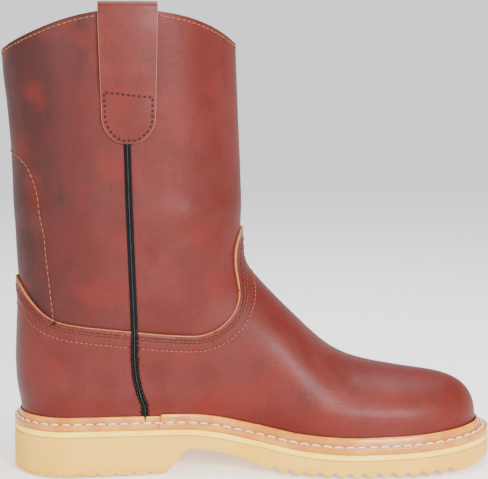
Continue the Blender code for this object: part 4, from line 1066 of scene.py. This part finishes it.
def stitches(path, normals, pitch, length, radius, sunk=0.35):
    """Points and faces of a row of stitches along a path on a surface.

    Each is a six-sided tube with seven rings; its middle stands proud and its
    ends dip in, as a sine over its length."""
    steps = np.concatenate([[0], np.cumsum(np.linalg.norm(np.diff(path, axis=0), axis=1))])
    count = max(int(steps[-1] / pitch), 1)
    t = np.linspace(0, 1, 7)
    places = (np.arange(count)[:, None] + 0.5) * steps[-1] / count + (t - 0.5) * length
    middle, up = [np.stack([np.interp(places, steps, part) for part in what.T], axis=-1) for what in (path, normals)]
    ahead = unit(np.gradient(middle, axis=1))
    up = unit(up - ahead * (up * ahead).sum(-1)[..., None])
    across = np.cross(ahead, up)
    swell = np.sin(np.pi * np.clip(t, 0.06, 0.94)) ** 0.4
    rise = radius * (np.sin(np.pi * t) ** 0.6 * (1 + sunk) - sunk)
    around = np.arange(6) / 6 * 2 * np.pi
    ring = up[:, :, None] * np.sin(around)[:, None] + across[:, :, None] * np.cos(around)[:, None]
    points = middle[:, :, None] + up[:, :, None] * rise[:, None, None] + ring * (radius * swell)[:, None, None]
    one = grid_faces(len(t), 6, wrap=True)
    ends = np.array(((0, 1, 2, 3), (0, 3, 4, 5)))
    one = np.vstack([one, ends[:, ::-1], ends + 6 * (len(t) - 1)])
    faces = (one + np.arange(count)[:, None, None] * 6 * len(t)).reshape(-1, 4)
    return points.reshape(-1, 3), faces


def sew(name, rows, finish, slot):
    """One piece from several rows of stitches."""
    points, faces, total = [], [], 0
    for row_points, row_faces in rows:
        points.append(row_points)
        faces.append(row_faces + total)
        total += len(row_points)
    add_piece(name, np.vstack(points), np.vstack(faces), (finish,), slot, look_out=False)


def offset_line(curve, distance):
    """Curve in side view moved sideways, to the right of its direction."""
    ahead = unit(np.gradient(curve, axis=0))
    return curve + np.column_stack([ahead[:, 1], -ahead[:, 0]]) * distance


def round_row(line, lift, end, stitch):
    """Stitches along a side-view line over both sides of the boot.

    The sides meet on the back line where end is 0, and on the front line where it is -1."""
    shares = np.linspace(0, 1, len(line))
    dense = np.column_stack([np.interp(np.linspace(0, 1, 1500), shares, part) for part in line.T])
    inside = np.minimum(dense[:, 0] - back_place(dense[:, 1]), front_place(dense[:, 1]) - dense[:, 0]) > LINE_GAP
    s, z = dense[inside].T
    (inner, inner_normals), (outer, outer_normals) = (leather_point(s, z, side, lift) for side in (-1, 1))
    up = unit(inner_normals[end] + outer_normals[end])
    middle = (front_place(z[-1]) if end else back_place(z[0])) - HEEL_CENTRE
    middle = np.array((middle, (inner[end, 1] + outer[end, 1]) / 2, z[end])) + up * lift
    way = -1 if end else 1
    path = np.vstack([inner[::-way], middle, outer[::way]])
    normals = np.vstack([inner_normals[::-way], up, outer_normals[::way]])
    return stitches(path, normals, *stitch)


tan_thread = thread("tan_thread", THREAD_TAN, 0.5)
brown_thread = thread("brown_thread", THREAD_BROWN, 0.5)
for name, offsets, finish in (("vamp_double_row", VAMP_ROWS[:2], brown_thread),
                              ("vamp_wide_row", VAMP_ROWS[2:], tan_thread)):
    rows = []
    for row in offsets:
        line = offset_line(VAMP_EDGE, row / 1000)
        off_seam = line[:, 0] - seam_place(line[:, 1])
        for part, end in ((off_seam < -PIPING_CLEARANCE, 0), (off_seam > PIPING_CLEARANCE, -1)):
            rows.append(round_row(line[part], OVERLAY_TOP - STITCH_SINK, end, VAMP_STITCH))
    sew(name, rows, finish, "vamp_leather")

# Columns: station and height of the counter pocket's seam, at the shaft's rear
POCKET_SEAM = smooth_curve(np.array(((0.0010, 0.2010), (0.0082, 0.1974), (0.0151, 0.1889), (0.0201, 0.1710),
                                     (0.0240, 0.1408), (0.0282, 0.0990))))
s = np.linspace(back_place(BOOT_HEIGHT), front_place(BOOT_HEIGHT), 400)
line = np.column_stack([s, collar_height(s) - COLLAR_SEW_INSET])
off_strap = s - strap_middle
rows = [round_row(line[off_strap < -STRAP_WIDTH / 2 - STRAP_CLEARANCE], 0.0, 0, COLLAR_STITCH),
        round_row(line[off_strap > STRAP_WIDTH / 2 + STRAP_CLEARANCE], 0.0, -1, COLLAR_STITCH),
        round_row(POCKET_SEAM, 0.0, 0, POCKET_STITCH)]
sew("shaft_stitches", rows, tan_thread, "shaft_leather")

rows = []
for side in (-1, 1):
    tip = low + STRAP_SEW_INSET
    z = mix(tip, STRAP_SEW_TOP, np.linspace(0, 1, 60) ** 2)
    half = np.maximum(strap_half(z - STRAP_SEW_INSET * 0.4) - STRAP_SEW_INSET, 0)
    half[0] = 0
    slope = PATCH_SLOPE * ease((z - tip) / PATCH_SLOPE_RUN)
    outline = np.vstack([np.column_stack([strap_middle - half[::-1], z[::-1]]),
                         np.column_stack([strap_middle + half[1:], (z - slope)[1:]])])
    for line in (outline, np.linspace(outline[-1], outline[0], 30)):
        sewn = leather_point(line[:, 0], line[:, 1], side, OVERLAY_GAP * 0.5 + STRAP_THICKNESS)
        rows.append(stitches(*sewn, *STRAP_STITCH))
sew("strap_stitches", rows, thread("dark_red_thread", THREAD_DARK, 0.5), "strap_leather")

rows = []
for side in (-1, 1):
    z = np.linspace(seam_foot + PIPING_SEW_FOOT, joint_z - 0.001, 80)
    for shift in (-PIPING_SEW_PLACE, PIPING_SEW_PLACE):
        sewn = leather_point(seam_place(z) + shift * PIPING_WIDTH, z, side, OVERLAY_TOP + PIPING_SEW_RISE)
        rows.append(stitches(*sewn, *PIPING_STITCH))
sew("piping_stitches", rows, thread("black_thread", THREAD_BLACK, 0.4), "piping")

shares = np.linspace(0, 2, 1600)
flat = welt_places(shares, THREAD_GROOVE)
path = np.column_stack([flat[:, 0] - HEEL_CENTRE, flat[:, 1], feather(flat[:, 0]) + WELT_SEW_RISE * WELT_THICKNESS])
sew("welt_stitches", [stitches(path, np.tile((0.0, 0.0, 1.0), (len(path), 1)), *WELT_STITCH, WELT_SEW_SUNK)],
    thread("white_thread", THREAD_WHITE, 0.55), "welt_leather")


# Studio: a pale floor that rises into a backdrop all round, three wide soft
# lights, and a long lens that looks a little down from the shaft's height.

FLOOR_WHITE = (0.92, 0.92, 0.92, 1)
FLOOR_REACH = 2.5
FLOOR_DROP = 0.0004
CAMERA_PLACE = (0.0572, -0.8477, 0.2508)
CAMERA_TARGET = (0.1090, 0.0, 0.1435)

floor_finish, shader, place = new_finish("pale_floor", {"Base Color": FLOOR_WHITE, "Roughness": 0.9,
                                                        "Specular IOR Level": 0.1,
                                                        "Emission Color": (1, 1, 1, 1), "Emission Strength": 0.55})
turn = np.arange(64) / 64 * 2 * np.pi
reach = np.concatenate([[0.01, 0.5, 1.0, 1.5, 2.0, FLOOR_REACH],
                        FLOOR_REACH * (1 + np.sin(np.linspace(0, np.pi / 2, 13)[1:]))])
bend = np.sqrt(np.maximum(FLOOR_REACH ** 2 - (reach - FLOOR_REACH) ** 2, 0))
rise = np.where(reach > FLOOR_REACH, FLOOR_REACH - bend, 0) - FLOOR_DROP
points = np.stack([reach[:, None] * np.cos(turn), reach[:, None] * np.sin(turn), rise[:, None] + 0 * turn], axis=-1)
mesh = bpy.data.meshes.new("floor")
faces = [*grid_faces(len(reach), 64, wrap=True).tolist(), list(range(64))]
mesh.from_pydata(points.reshape(-1, 3).tolist(), [], faces)
mesh.shade_smooth()
mesh.materials.append(floor_finish)
floor = new_object("floor", mesh)

world = bpy.data.worlds.new("studio")
world.use_nodes = True
backdrop = world.node_tree.nodes["Background"].inputs
backdrop["Color"].default_value = (1.0, 1.0, 1.0, 1)
backdrop["Strength"].default_value = 0.32
bpy.context.scene.world = world


def look_at(thing, place, target):
    """Put a lamp or the camera at a place and turn it to a point."""
    thing.location = place
    thing.rotation_euler = (Vector(target) - Vector(place)).to_track_quat("-Z", "Y").to_euler()


def soft_light(name, place, target, size, power):
    """Square soft light that looks at a point."""
    lamp = bpy.data.lights.new(name, "AREA")
    lamp.size = size
    lamp.energy = power
    look_at(new_object(name, lamp), place, target)


soft_light("key_light", (0.50, -1.10, 0.62), (0.08, 0.0, 0.12), 0.45, 27)
soft_light("fill_light", (-0.75, -0.85, 0.55), (0.05, 0.0, 0.12), 0.40, 9)
soft_light("top_light", (0.25, 0.10, 1.20), (0.10, 0.0, 0.05), 0.8, 20)

camera = new_object("camera", bpy.data.cameras.new("camera"))
camera.data.lens = 99.15
camera.data.sensor_width = 36.0
look_at(camera, CAMERA_PLACE, CAMERA_TARGET)
bpy.context.scene.camera = camera
